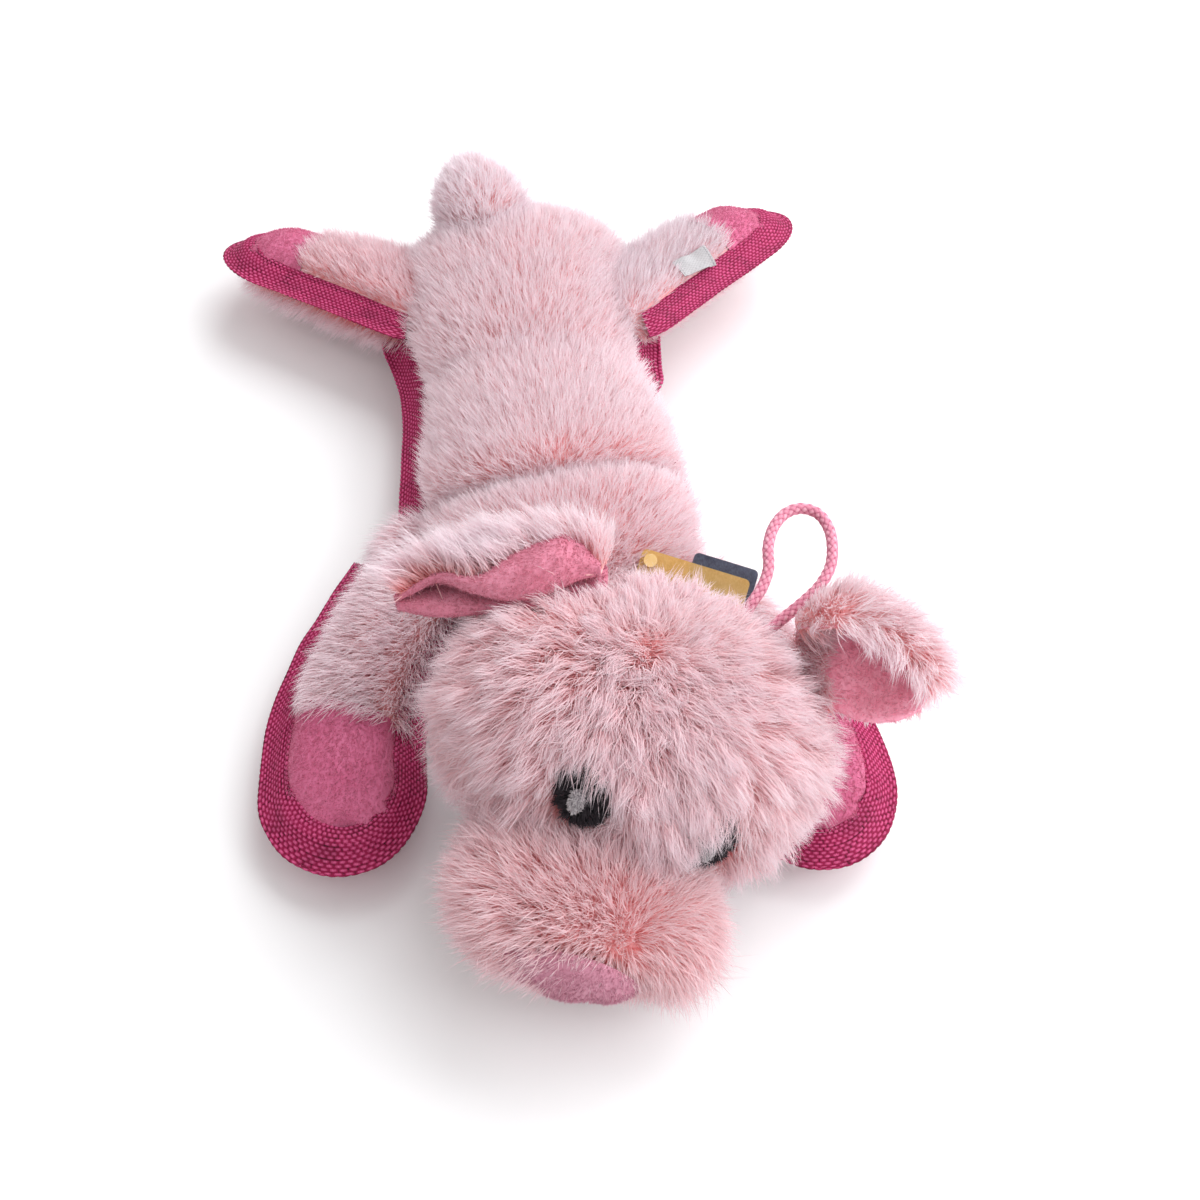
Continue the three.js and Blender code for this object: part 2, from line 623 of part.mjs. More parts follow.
function buildEar(side) {
  const ear = EARS[side];
  const group = earGroup(ear);
  const skullHere = moved(moved(stuffed(SKULL, RUNNING), frameOf(headGroup)), frameOf(group).invert());
  const lifts = -Math.sign(ear.fold);
  const room = swept(skullHere, [0, 0, 0], [-lifts, 0, 0], [0, ...EAR_FLAP_DEG]);
  const furForm = earLayer(ear, EAR.fur, 0, 0);
  const inset = (EAR.fur + EAR.lining) / 2 + SEAT;
  const lining = stuffed(earLayer(ear, EAR.lining, inset, EAR.lining_trim));
  add(group, `ear_fur_${side}`, cut(stuffed(furForm), room), 'fur');
  add(group, `ear_lining_${side}`, cut(lining, room, stuffed(furForm, SEAT)), 'lining');
}

function buildTail() {
  const outer = stuffed(tailForm);
  const open = block([-BIG, -BIG, -BIG], [-TAIL.ends[0] * TAIL_OPENING, BIG, BIG]);
  add(tailGroup, 'tail_fur', cut(outer, stuffed(tailForm, -SKIN), open), 'fur');
  add(tailGroup, 'tail_stuffing', stuffed(tailForm, -SKIN - FILL_GAP), 'fill');
}

function buildLoop() {
  const route = new THREE.CatmullRomCurve3(LOOP_POINTS.map((p) => new THREE.Vector3(...p)), false, 'centripetal');
  const section = new THREE.Shape();
  for (let i = 0; i < LOOP_SIDES; i += 1) {
    const angle = (2 * Math.PI * i) / LOOP_SIDES;
    const point = [Math.cos(angle) * LOOP_DIAMETER / 2, Math.sin(angle) * LOOP_DIAMETER / 2];
    if (i === 0) section.moveTo(...point);
    else section.lineTo(...point);
  }
  const geometry = new THREE.ExtrudeGeometry(section, { steps: LOOP_STEPS, extrudePath: route, curveSegments: 1 });
  const skullPlaced = moved(stuffed(SKULL, SEAT), frameOf(headGroup));
  add(toy, 'hang_loop', cut(toSolid(geometry), skullPlaced), 'cord');
}

// Swing tag: a card and a leaf behind it, held by a pin through one corner.
// Its frame has x along the card's upper edge, y up the card and z out of its face.
function buildTag() {
  const x = new THREE.Vector3(...CARD_PLACE.along).normalize();
  const y = new THREE.Vector3(...CARD_PLACE.down).negate();
  y.addScaledVector(x, -y.dot(x)).normalize();
  const group = new THREE.Group();
  group.position.set(...CARD_PLACE.corner);
  group.setRotationFromMatrix(new THREE.Matrix4().makeBasis(x, y, new THREE.Vector3().crossVectors(x, y)));
  toy.add(group);
  const { width, depth, thickness, leaf_width, leaf_depth, leaf_shift, gap } = CARD;
  const disc = (radius, low, high) => {
    const geometry = new THREE.CylinderGeometry(radius, radius, high - low, PIN.around);
    geometry.rotateX(Math.PI / 2);
    geometry.translate(PIN.inset, -PIN.inset, (low + high) / 2);
    return toSolid(geometry);
  };
  const card = block([0, -depth, 0], [width, 0, thickness]);
  const right = width + leaf_shift[0];
  const leaf = block(
    [right - leaf_width, leaf_shift[1] - leaf_depth, -gap - thickness],
    [right, leaf_shift[1], -gap],
  );
  add(group, 'tag_card', card.subtract(disc(PIN.radius + SEAT, -BIG, BIG)), 'card');
  add(group, 'tag_leaf', leaf, 'leaf');
  const torsoHere = moved(torsoForm(SEAT), frameOf(group).invert());
  const shank = disc(PIN.radius, -PIN.length, thickness + SEAT).subtract(torsoHere);
  const head = disc(PIN.head, thickness + SEAT, thickness + SEAT + PIN.head_height);
  add(group, 'tag_pin', shank.add(head), 'squeaker');
}

buildTorso();
addSqueaker(toy, 'torso', TORSO_SQUEAKER_AT);
Object.keys(LEGS).forEach(buildLeg);
buildNeck();
buildHead();
addSqueaker(headGroup, 'head', HEAD_SQUEAKER_AT);
Object.keys(EARS).forEach(buildEar);
buildTail();
buildLoop();
buildTag();

export default toy;
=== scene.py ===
# A plush pig dog toy in metres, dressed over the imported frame: long-pile fur, velour
# paws, a woven tape round every limb, folded ears, a braided hang loop and blank tags.
import math

import bmesh
import bpy
import numpy as np
from mathutils import Matrix, Vector
from mathutils.bvhtree import BVHTree
from mathutils.kdtree import KDTree


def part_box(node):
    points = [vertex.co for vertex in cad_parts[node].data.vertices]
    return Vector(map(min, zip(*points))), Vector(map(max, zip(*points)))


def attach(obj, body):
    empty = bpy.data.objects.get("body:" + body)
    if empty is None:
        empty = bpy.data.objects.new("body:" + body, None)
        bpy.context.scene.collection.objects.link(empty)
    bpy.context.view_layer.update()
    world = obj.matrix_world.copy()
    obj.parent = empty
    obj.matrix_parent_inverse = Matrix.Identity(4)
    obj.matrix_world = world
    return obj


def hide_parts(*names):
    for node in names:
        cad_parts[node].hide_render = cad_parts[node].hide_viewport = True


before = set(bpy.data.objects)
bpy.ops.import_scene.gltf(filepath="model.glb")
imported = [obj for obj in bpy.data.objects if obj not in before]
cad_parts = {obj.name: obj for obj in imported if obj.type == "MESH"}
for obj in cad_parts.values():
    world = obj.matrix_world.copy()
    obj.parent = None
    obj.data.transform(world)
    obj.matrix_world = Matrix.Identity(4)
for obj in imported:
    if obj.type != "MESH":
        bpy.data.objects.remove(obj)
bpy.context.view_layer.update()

MM = 0.001
SEAM_HEIGHT = 20.0
MOST_TRIANGLES = 190000
TO_CAMERA = np.array((-0.094, -0.594, 0.799))
WEBBING_WIDTH = 8.0

# The driving sizes of the toy, in millimetres and degrees, as its solids have them
TORSO = dict(
    start=(0, -45), heading=90, length=235, ends=(28, 38),
    half=((0, 40), (0.14, 50), (0.28, 53), (0.56, 46), (0.74, 51), (0.9, 47), (1, 36)),
    top=((0, 24), (0.14, 34), (0.3, 39), (0.56, 34), (0.76, 37), (0.9, 34), (1, 26)),
    bottom=((0, 20.5), (1, 20.5)),
)
FLANKS = dict(left=(34, 118), right=(4, 104))
FRONT_LEG = dict(
    length=131, ends=(20, 25), half=((0, 20), (0.45, 19), (0.8, 20.5), (1, 20)),
    top=((0, 17), (0.4, 18), (0.8, 15), (1, 12)), bottom=((0, 15), (0.6, 16.3), (1, 14)),
)
HIND_LEG = dict(
    length=86, ends=(17, 20), half=((0, 26), (0.4, 22), (0.8, 18), (1, 16)),
    top=((0, 17), (0.4, 17), (0.8, 15), (1, 12)), bottom=((0, 17), (0.6, 16), (1, 12)),
)
LEGS = dict(
    front_left=dict(form=FRONT_LEG, pad=54, at=(-52, 3, 15.2), heading=-125, turn=34, roll=0, slant=-19),
    front_right=dict(form=FRONT_LEG, pad=52, at=(48, -38, 15.2), heading=-60, turn=-36, roll=0, shorter=22),
    hind_left=dict(form=HIND_LEG, pad=34, at=(-42, 143, 24), heading=146, turn=4, roll=20),
    hind_right=dict(form=HIND_LEG, pad=34, at=(44, 128, 24), heading=32, turn=-2, roll=-20),
)
# How far from the root each leg's tape starts, on its first side and its second
TAPE_STARTS = dict(front_left=(10, 10), front_right=(30, 62), hind_left=(-6, -6), hind_right=(-6, -6))
# The flank tapes run on past their ends, and are slim up to the Y where they come into view
FLANK_RUN_ON = (12, 32)
FLANK_SHOWN = dict(left=-20, right=88)
NECK = dict(at=(6, -60, 38), radius=20)
HEAD = dict(at=(9, -108, 52), yaw=-14, roll=15, pitch=-4)
SKULL = dict(
    start=(0, 50), heading=-90, length=100, ends=(50, 46), half=((0, 61), (0.5, 65), (1, 61)),
    top=((0, 45), (0.5, 45), (1, 43)), bottom=((0, 42), (0.6, 44), (1, 44)),
)
CROWN_HALF_WIDTH = 22
MUZZLE = dict(
    start=(-7, -18), heading=-90, length=70, ends=(30, 26), half=((0, 36), (0.6, 43), (1, 40)),
    top=((0, 22), (0.6, 24), (1, 21)), bottom=((0, 22), (0.6, 24), (1, 22)),
)
MUZZLE_DROP = 17
NOSE = dict(centre=(-11, -22), half=(24, 15))
EYES = dict(left=(-18, 16.5), right=(26, 8.5))
EYE_HALF = (8.5, 9)
GLINT_HALF = (1.9, 3.0)
# Each ear as a sheet, from its root to its tip and from its lower lip to its folded upper edge
EAR_SHEETS = dict(
    left=(
        ((5, -73, 83), (6, -69.5, 83.5), (7.5, -62.5, 81), (8, -56.5, 79.5), (7.5, -55.5, 81.5),
         (7, -58, 84.5), (5.5, -63.5, 86.5), (4.5, -66.5, 88), (4.5, -66, 91), (5, -62.5, 91)),
        ((-2, -74, 84), (-0.5, -70, 84.5), (1.5, -60.5, 83.5), (3, -51, 82), (3, -48.5, 86),
         (1, -53, 89), (-2, -64.5, 89), (-3, -69, 90.5), (-2.5, -64, 95), (-1.5, -56, 96)),
        ((-13.5, -73.5, 84), (-12.5, -70, 86), (-10.5, -58, 83.5), (-9, -46, 82.5), (-8.5, -43.5, 87.5),
         (-11, -52.5, 90.5), (-12.5, -69, 89), (-12.5, -72, 91.5), (-11, -65, 98.5), (-8.5, -55.5, 99.5)),
        ((-27, -73.5, 84), (-26, -69.5, 86), (-24.5, -57, 83), (-23, -45.5, 81.5), (-22.5, -42.5, 86.5),
         (-24.5, -52.5, 90), (-27, -71, 89.5), (-27.5, -74, 92), (-26, -68, 97), (-23.5, -59, 97.5)),
        ((-40, -72.5, 83), (-39.5, -68, 85.5), (-38, -56.5, 83), (-36.5, -45.5, 81), (-36.5, -43, 85.5),
         (-37.5, -53, 88), (-39, -67, 90), (-39, -70, 91.5), (-38.5, -68, 94.5), (-37.5, -63.5, 94)),
        ((-52.5, -70.5, 82), (-52, -66.5, 83.5), (-51.5, -58, 81.5), (-50.5, -50, 80), (-50, -47.5, 83),
         (-50, -52.5, 85.5), (-50.5, -59, 88.5), (-50.5, -61, 89), (-50.5, -60.5, 91), (-50, -59, 91)),
        ((-65.5, -64, 80), (-65.5, -62, 80.5), (-66, -59.5, 80), (-65.5, -57.5, 79), (-65.5, -57.5, 80),
         (-65.5, -58.5, 80.5), (-65, -59.5, 81), (-65, -61, 81.5), (-65, -61, 82.5), (-65, -60.5, 83)),
    ),
    right=(
        ((67, -105, 51.5), (68, -99.5, 52), (68.5, -94, 54), (69.5, -89, 56.5), (71, -84, 60),
         (71.5, -82, 65.5), (71, -82.5, 71.5), (69.5, -86.5, 74.5), (69.5, -89, 73.5)),
        ((71, -109.5, 56.5), (72.5, -103, 56.5), (73.5, -97, 58.5), (74.5, -91.5, 61.5), (76, -85.5, 64.5),
         (76, -83.5, 71.5), (75, -84.5, 78), (73.5, -89.5, 80), (73.5, -94, 78)),
        ((79, -114.5, 58.5), (79.5, -108.5, 59.5), (80.5, -101.5, 62), (82, -95, 64.5), (83.5, -88.5, 68.5),
         (83, -85, 76), (81.5, -87, 83), (80, -93.5, 85.5), (80, -98.5, 83)),
        ((84, -119, 59.5), (86, -111, 59), (88, -104.5, 61), (89.5, -98, 63.5), (91, -90.5, 68),
         (91.5, -86, 75), (90, -88, 83), (88, -95, 85.5), (86.5, -100.5, 81)),
        ((91, -121.5, 59.5), (93, -115, 60), (95.5, -108.5, 61), (98, -102.5, 63.5), (100.5, -96.5, 66.5),
         (101.5, -94.5, 72.5), (101.5, -95.5, 79), (98.5, -101.5, 82), (95.5, -106, 78)),
        ((98.5, -122, 60.5), (100, -118, 61), (102.5, -113.5, 62), (105.5, -109.5, 63), (108.5, -105.5, 65),
         (109.5, -104.5, 69.5), (109.5, -105.5, 73.5), (107, -110, 75.5), (103.5, -113, 72.5)),
        ((106.5, -119.5, 61.5), (107.5, -118.5, 61.5), (108.5, -117.5, 62), (110, -116, 62), (111.5, -115, 63),
         (112.5, -114.5, 65), (112.5, -115.5, 66.5), (110.5, -117, 67.5), (108.5, -118.5, 66.5)),
    ),
)
EAR_ROWS, EAR_COLS = 96, 120
EAR_MIDDLE = EAR_ROWS // 2
# How many columns the lining covers
EAR_LINED = dict(left=120, right=116)
# The ears' coats: the rows over which the rim's fringe dies out, the share of the length at the
# root and the rows over which it grows, how much longer the pile is at the fold, and its lean
EAR_COATS = dict(
    left=dict(calm=(40, 70), root_share=0.45, root_ends=(0, 6), tall=12.5, lean=(10, 50)),
    right=dict(calm=(90, 96), root_share=0.2, root_ends=(6, 36), tall=8.5, lean=(12, 58)),
)
TAIL = dict(
    at=(-9, 168, 43), rise=38, heading=106, length=28, ends=(13, 15),
    half=((0, 15), (0.5, 17), (1, 13)), top=((0, 13), (0.5, 15), (1, 11)), bottom=((0, 13), (0.5, 14), (1, 11)),
)
LOOP_DIAMETER = 4.2
LOOP_POINTS = (
    (51, -80, 58), (53, -76, 63), (57, -71, 66), (62.5, -65, 68), (66, -58.5, 70), (67.5, -50.5, 71.5),
    (71, -43, 73), (76.5, -38, 74), (82.5, -37, 74.5), (88, -40, 74), (90.5, -46.5, 73), (90, -54.5, 72),
    (87.5, -62, 70.5), (82.5, -68, 68.5), (76.5, -72, 66.5), (70, -75.5, 64.5), (64, -78.5, 62.5),
    (58.5, -81, 60), (55, -83, 56),
)
CARD = dict(
    width=42, depth=14, thickness=0.6, leaf=(25, 14), leaf_shift=(2, 1.5), gap=0.4,
    corner=(27.5, -24, 46.5), along=(38, -18, -5), down=(-0.1, -0.86, -0.5), inset=4, cells=(42, 14),
)
LABEL = dict(along=(21, 39), across=(-19.4, -14.2), above=2.8, threads=(61, 41), hems=(3, 4, 56, 57))
# The woven tape: the step along its route and the places across it, how far its leg reaches in
# and up over the cloth, how long its bend round a toe is, how high it lies on the cloth and at
# its lip, and its brick weave
TAPE = dict(
    step=0.38, places=91, wide=19.0, tall=16.0, under=6.0, toe=30.0, rest=0.9, at_lip=0.1, relief=0.55,
    pitch=(2.3, 1.25),
)
# The plait: yarns each way round, millimetres a yarn takes along, and its places
BRAID = dict(yarns=5, lay=3.0, sunk=0.45, relief=0.5, around=60, step=0.2)
# How high an under yarn reads to the finish: lower, so it is painted darker, painted shade where it passes under
LOWER_YARN = 0.72

# Where the pile turns, on the crown and the muzzle, and where it is longer, by the card and at
# the muzzle's lower right corner
HEAD_WHORL = np.array((15.3, -100.9, 95.7))
BY_CARD = np.array((38, -44, 66))
MUZZLE_CORNER = np.array((12.0, -187.0, 34.0))
MUZZLE_WHORL = np.array((-5.5, -184.0, 48.0))
# The folds across the back: the Y of each, how deep it is and how wide
BACK_FOLDS = ((12.0, 7.0, 7.0), (83.0, 2.0, 10.0), (128.0, 1.0, 10.0))

# ---------------------------------------------------------------- camera


CAMERA = dict(lens=52.5, sensor=36, at=(-0.0529, -0.4271, 0.5590), tilt=37, turn=-9)


def place_camera():
    """The view of the photograph, from above the head."""
    camera = bpy.data.objects.new("camera", bpy.data.cameras.new("camera"))
    camera.data.lens, camera.data.sensor_width = CAMERA["lens"], CAMERA["sensor"]
    camera.location = CAMERA["at"]
    camera.rotation_euler = (math.radians(CAMERA["tilt"]), 0, math.radians(CAMERA["turn"]))
    bpy.context.collection.objects.link(camera)
    bpy.context.scene.camera = camera


place_camera()

# ---------------------------------------------------------------- forms


def unit(v):
    """Vectors at length 1."""
    v = np.asarray(v, float)
    return v / np.maximum(np.linalg.norm(v, axis=-1, keepdims=True), 1e-9)


def ease(t, low=0.0, high=1.0):
    """A smooth rise from 0 at low to 1 at high."""
    t = np.clip((np.asarray(t, float) - low) / (high - low), 0, 1)
    return t * t * (3 - 2 * t)


def lumps(points, size, seed=0):
    """Smooth seeded swellings from -1 to 1, size millimetres apart."""
    place = np.asarray(points, float) / size + seed * 17.31
    cell = np.floor(place).astype(np.int64)
    t = place - cell
    t = t * t * (3 - 2 * t)
    total = 0
    for corner in np.ndindex(2, 2, 2):
        n = cell + corner
        key = n[..., 0] * 374761393 + n[..., 1] * 668265263 + n[..., 2] * 1440662683 + seed * 7919
        key = (key ^ (key >> 13)) * 1274126177
        value = ((key ^ (key >> 16)) & 0xFFFF) / 32767.5 - 1
        share = np.prod(np.where(corner, t, 1 - t), axis=-1)
        total = total + value * share
    return total


def drift(points, size, seed):
    """A smooth seeded change of direction over a surface."""
    return np.c_[lumps(points, size, seed), lumps(points, size, seed + 1), lumps(points, size, seed + 2)]


def swell(stations, share):
    """A size that swells and tapers along a limb, through its stations."""
    at, size = np.array(stations, float).T
    share = np.clip(np.asarray(share, float), 0, 1)
    i = np.clip(np.searchsorted(at, share, "left") - 1, 0, len(at) - 2)
    slope = np.zeros(len(at))
    slope[1:-1] = (size[2:] - size[:-2]) / (at[2:] - at[:-2])
    w = at[i + 1] - at[i]
    t = (share - at[i]) / w
    t2, t3 = t * t, t * t * t
    return ((2 * t3 - 3 * t2 + 1) * size[i] + (t3 - 2 * t2 + t) * w * slope[i]
            + (3 * t2 - 2 * t3) * size[i + 1] + (t3 - t2) * w * slope[i + 1])


class Form:
    """A stuffed shape: oval sections along a turning line, drawn in round at both ends."""

    def __init__(self, place, start, length, ends, half, top, bottom, heading=0, turn=0, bend=(0, 1)):
        self.place = np.array(place, float)
        self.length, self.ends, self.half, self.top, self.bottom = length, ends, half, top, bottom
        self.heading, self.turn, self.bend = heading, turn, bend
        self.steps = np.linspace(0, length, 401)
        middle = self.angle((self.steps[:-1] + self.steps[1:]) / 2)
        hop = length / 400
        self.line = np.array(start, float) + np.vstack(
            ((0, 0), np.cumsum(np.c_[np.cos(middle), np.sin(middle)] * hop, axis=0)))

    def angle(self, s):
        """The line's direction in plan at lengths s."""
        return np.radians(self.heading + self.turn * ease(np.asarray(s) / self.length, *self.bend))

    def spine(self, s):
        """The line's plan position and direction at lengths s, straight on past its ends."""
        inside = np.clip(s, 0, self.length)
        angle, past = self.angle(inside), s - inside
        x = np.interp(inside, self.steps, self.line[:, 0]) + np.cos(angle) * past
        y = np.interp(inside, self.steps, self.line[:, 1]) + np.sin(angle) * past
        return x, y, angle

    def drawn(self, s, grow=0.0):
        """How full the section is at lengths s: 1 along the middle and 0 at both tips."""
        first, last = s + grow, self.length + grow - s
        depth = np.minimum(np.minimum(first / (self.ends[0] + grow), last / (self.ends[1] + grow)), 1)
        return np.sqrt(np.maximum(0, 1 - (1 - np.maximum(depth, 0)) ** 2))

    def local(self, s, around):
        """Points of the surface in the form's own frame, at lengths s and angles around."""
        share = np.clip(s / self.length, 0, 1)
        x, y, angle = self.spine(s)
        size = self.drawn(s)
        rise = np.where(np.sin(around) > 0, swell(self.top, share), swell(self.bottom, share))
        side = np.cos(around) * swell(self.half, share) * size
        return np.stack((x - np.sin(angle) * side, y + np.cos(angle) * side, np.sin(around) * rise * size), -1)

    def world(self, points):
        return points @ self.place[:3, :3].T + self.place[:3, 3]

    def own(self, points):
        return (points - self.place[:3, 3]) @ self.place[:3, :3]

    def fullness(self, points, grow=0.0):
        """Below 1 inside the shape and above 1 outside it, for points in the toy's frame."""
        p = self.own(points)
        marks = np.linspace(0, self.length, 41)
        x, y, angle = self.spine(marks)
        near = np.argmin((p[:, 0, None] - x) ** 2 + (p[:, 1, None] - y) ** 2, axis=1)
        dx, dy, a = p[:, 0] - x[near], p[:, 1] - y[near], angle[near]
        s = marks[near] + dx * np.cos(a) + dy * np.sin(a)
        side = -np.sin(a) * dx + np.cos(a) * dy
        share = np.clip(s / self.length, 0, 1)
        rise = np.where(p[:, 2] > 0, swell(self.top, share), swell(self.bottom, share)) + grow
        size = np.maximum(self.drawn(s, grow), 1e-3)
        return np.hypot(side / (swell(self.half, share) + grow), p[:, 2] / rise) / size


def turned(z=0.0, y=0.0, x=0.0, at=(0, 0, 0)):
    """A place and its turns in degrees, about Z, then Y, then X."""
    m = Matrix.Translation(at) @ Matrix.Rotation(math.radians(z), 4, "Z")
    m = m @ Matrix.Rotation(math.radians(y), 4, "Y") @ Matrix.Rotation(math.radians(x), 4, "X")
    return np.array(m)


def leg_form(name):
    """A leg's form, which starts one root's depth behind its joint."""
    leg = LEGS[name]
    sizes = dict(leg["form"])
    root = sizes["ends"][0]
    sizes["length"] += root - leg.get("shorter", 0)
    place = turned(z=leg["heading"], x=leg["roll"], at=leg["at"])
    return Form(place, start=(-root, 0), turn=leg["turn"], bend=(0.25, 0.95), **sizes)


HEAD_PLACE = turned(z=HEAD["yaw"], y=HEAD["roll"], x=HEAD["pitch"], at=HEAD["at"])
TORSO_FORM = Form(turned(at=(0, 0, SEAM_HEIGHT)), **TORSO)
SKULL_FORM = Form(HEAD_PLACE, **SKULL)
MUZZLE_FORM = Form(HEAD_PLACE @ turned(at=(0, 0, -MUZZLE_DROP)), **MUZZLE)
LEG_FORMS = {name: leg_form(name) for name in LEGS}
TAIL_FORM = Form(
    turned(z=TAIL["heading"], y=-TAIL["rise"], at=TAIL["at"]), start=(-TAIL["ends"][0], 0),
    length=TAIL["length"] + TAIL["ends"][0], ends=TAIL["ends"], half=TAIL["half"], top=TAIL["top"],
    bottom=TAIL["bottom"],
)

# ---------------------------------------------------------------- finishes


class Finish:
    """A material, or a group that several materials share, built node by node."""

    def __init__(self, tree):
        self.tree = tree

    def node(self, kind, **settings):
        made = self.tree.nodes.new(kind)
        for key, value in settings.items():
            setattr(made, key, value)
        return made

    def join(self, source, target):
        self.tree.links.new(source, target)

    def put(self, socket, value):
        if isinstance(value, bpy.types.NodeSocket):
            self.join(value, socket)
        else:
            socket.default_value = value

    def maths(self, kind, *values):
        made = self.node("ShaderNodeMath", operation=kind)
        for socket, value in zip(made.inputs, values):
            self.put(socket, value)
        return made.outputs[0]

    def mix(self, share, a, b, blend="MIX"):
        made = self.node("ShaderNodeMix", data_type="RGBA", blend_type=blend)
        self.put(made.inputs["Factor"], share)
        self.put(made.inputs[6], a)
        self.put(made.inputs[7], b)
        return made.outputs[2]

    def span(self, value, low, high, to_low=0.0, to_high=1.0):
        made = self.node("ShaderNodeMapRange")
        for socket, v in zip(made.inputs, (value, low, high, to_low, to_high)):
            self.put(socket, v)
        return made.outputs[0]

    def grain(self, vector, scale, detail=2.0, stretch=(1, 1, 1)):
        """Fine seeded noise, scale features to the metre."""
        spread = self.node("ShaderNodeVectorMath", operation="MULTIPLY")
        self.put(spread.inputs[0], vector)
        spread.inputs[1].default_value = stretch
        made = self.node("ShaderNodeTexNoise")
        self.join(spread.outputs[0], made.inputs["Vector"])
        self.put(made.inputs["Scale"], scale)
        made.inputs["Detail"].default_value = detail
        return made.outputs["Fac"]

    def place(self):
        return self.node("ShaderNodeTexCoord").outputs["Object"]


def srgb(r, g, b):
    """A colour as a screen shows it, 0 to 255, in linear light."""
    return (*(c / 255 / 12.92 if c <= 10 else ((c / 255 + 0.055) / 1.055) ** 2.4 for c in (r, g, b)), 1.0)


def shared(name, inputs, outputs):
    """An empty group with named sockets, and its inside ends."""
    tree = bpy.data.node_groups.new(name, "ShaderNodeTree")
    kinds = dict(c="NodeSocketColor", v="NodeSocketFloat", p="NodeSocketVector")
    for label, (kind, value) in inputs.items():
        socket = tree.interface.new_socket(label, in_out="INPUT", socket_type=kinds[kind])
        if value is not None:
            socket.default_value = value
    for label, kind in outputs.items():
        tree.interface.new_socket(label, in_out="OUTPUT", socket_type=kinds[kind])
    inside = Finish(tree)
    return inside, inside.node("NodeGroupInput").outputs, inside.node("NodeGroupOutput").inputs


def pile_tone_group():
    """Fur: warmer and darker at the root, partly the fur's own tone and partly painted shade deep in the pile, and
    pale at the tip, with stray lighter and warmer tufts.
    """
    g, given, out = shared(
        "pile_tone",
        dict(Along=("v", 0.5), Variation=("v", 0.5), Root=("c", None), Middle=("c", None), Tip=("c", None)),
        dict(Colour="c", Roughness="v", Height="v"),
    )
    low = g.mix(g.span(given["Along"], 0.0, 0.42), given["Root"], given["Middle"])
    tone = g.mix(g.span(given["Along"], 0.35, 0.95), low, given["Tip"])
    stray = g.span(given["Variation"], 0.0, 1.0, 0.9, 1.04)
    grey = g.node("ShaderNodeCombineColor")
    for socket in grey.inputs:
        g.join(stray, socket)
    g.join(g.mix(1.0, tone, grey.outputs[0], "MULTIPLY"), out["Colour"])
    g.join(g.span(given["Variation"], 0.0, 1.0, 0.7, 0.95), out["Roughness"])
    wave = g.maths("SINE", g.maths("MULTIPLY", given["Along"], 60.0))
    g.join(g.maths("MULTIPLY_ADD", wave, 0.5, 0.5), out["Height"])
    return g.tree


def brushed_nap_group():
    """Short pile: fine brushed streaks, soft worn patches and a lighter bloom."""
    g, given, out = shared(
        "brushed_nap",
        dict(Place=("p", None), Deep=("c", None), Face=("c", None), Bloom=("c", None), Fineness=("v", 900.0)),
        dict(Colour="c", Roughness="v", Height="v"),
    )
    fine = g.grain(given["Place"], given["Fineness"], 3.0, (1.0, 0.35, 1.0))
    tuft = g.grain(given["Place"], g.maths("MULTIPLY", given["Fineness"], 0.33), 2.0)
    patch = g.grain(given["Place"], 55.0, 2.0)
    lit = g.span(g.maths("ADD", fine, g.maths("MULTIPLY", tuft, 0.6)), 0.6, 1.0)
    tone = g.mix(lit, given["Deep"], given["Face"])
    tone = g.mix(g.span(patch, 0.45, 0.72, 0.0, 0.55), tone, given["Bloom"])
    g.join(tone, out["Colour"])
    g.join(g.span(fine, 0.3, 0.7, 0.75, 0.98), out["Roughness"])
    g.join(g.maths("ADD", fine, tuft), out["Height"])
    return g.tree


def spun_yarn_group():
    """Yarn: painted shade in the gaps and a painted highlight on its crown, with twisted fibres along it."""
    g, given, out = shared(
        "spun_yarn",
        dict(Place=("p", None), Crown=("v", 0.5), Gap=("c", None), Yarn=("c", None), Light=("c", None),
             Twist=("v", 2500.0)),
        dict(Colour="c", Roughness="v", Height="v"),
    )
    fibre = g.grain(given["Place"], given["Twist"], 3.0, (1.0, 0.6, 1.0))
    stray = g.grain(given["Place"], 120.0, 2.0)
    crown = g.maths("ADD", given["Crown"], g.span(fibre, 0.3, 0.7, -0.14, 0.14))
    # The crown's height picks the tone: painted shade low in the gaps, a painted highlight high on the crown
    tone = g.mix(g.span(crown, 0.08, 0.5), given["Gap"], given["Yarn"])
    tone = g.mix(g.span(crown, 0.62, 1.05, 0.0, 0.8), tone, given["Light"])
    tone = g.mix(g.span(stray, 0.5, 0.75, 0.0, 0.3), tone, given["Gap"])
    g.join(tone, out["Colour"])
    g.join(g.span(fibre, 0.3, 0.7, 0.55, 0.85), out["Roughness"])
    g.join(g.maths("MULTIPLY_ADD", fibre, 0.6, given["Crown"]), out["Height"])
    return g.tree


PILE_TONE = pile_tone_group()
BRUSHED_NAP = brushed_nap_group()
SPUN_YARN = spun_yarn_group()


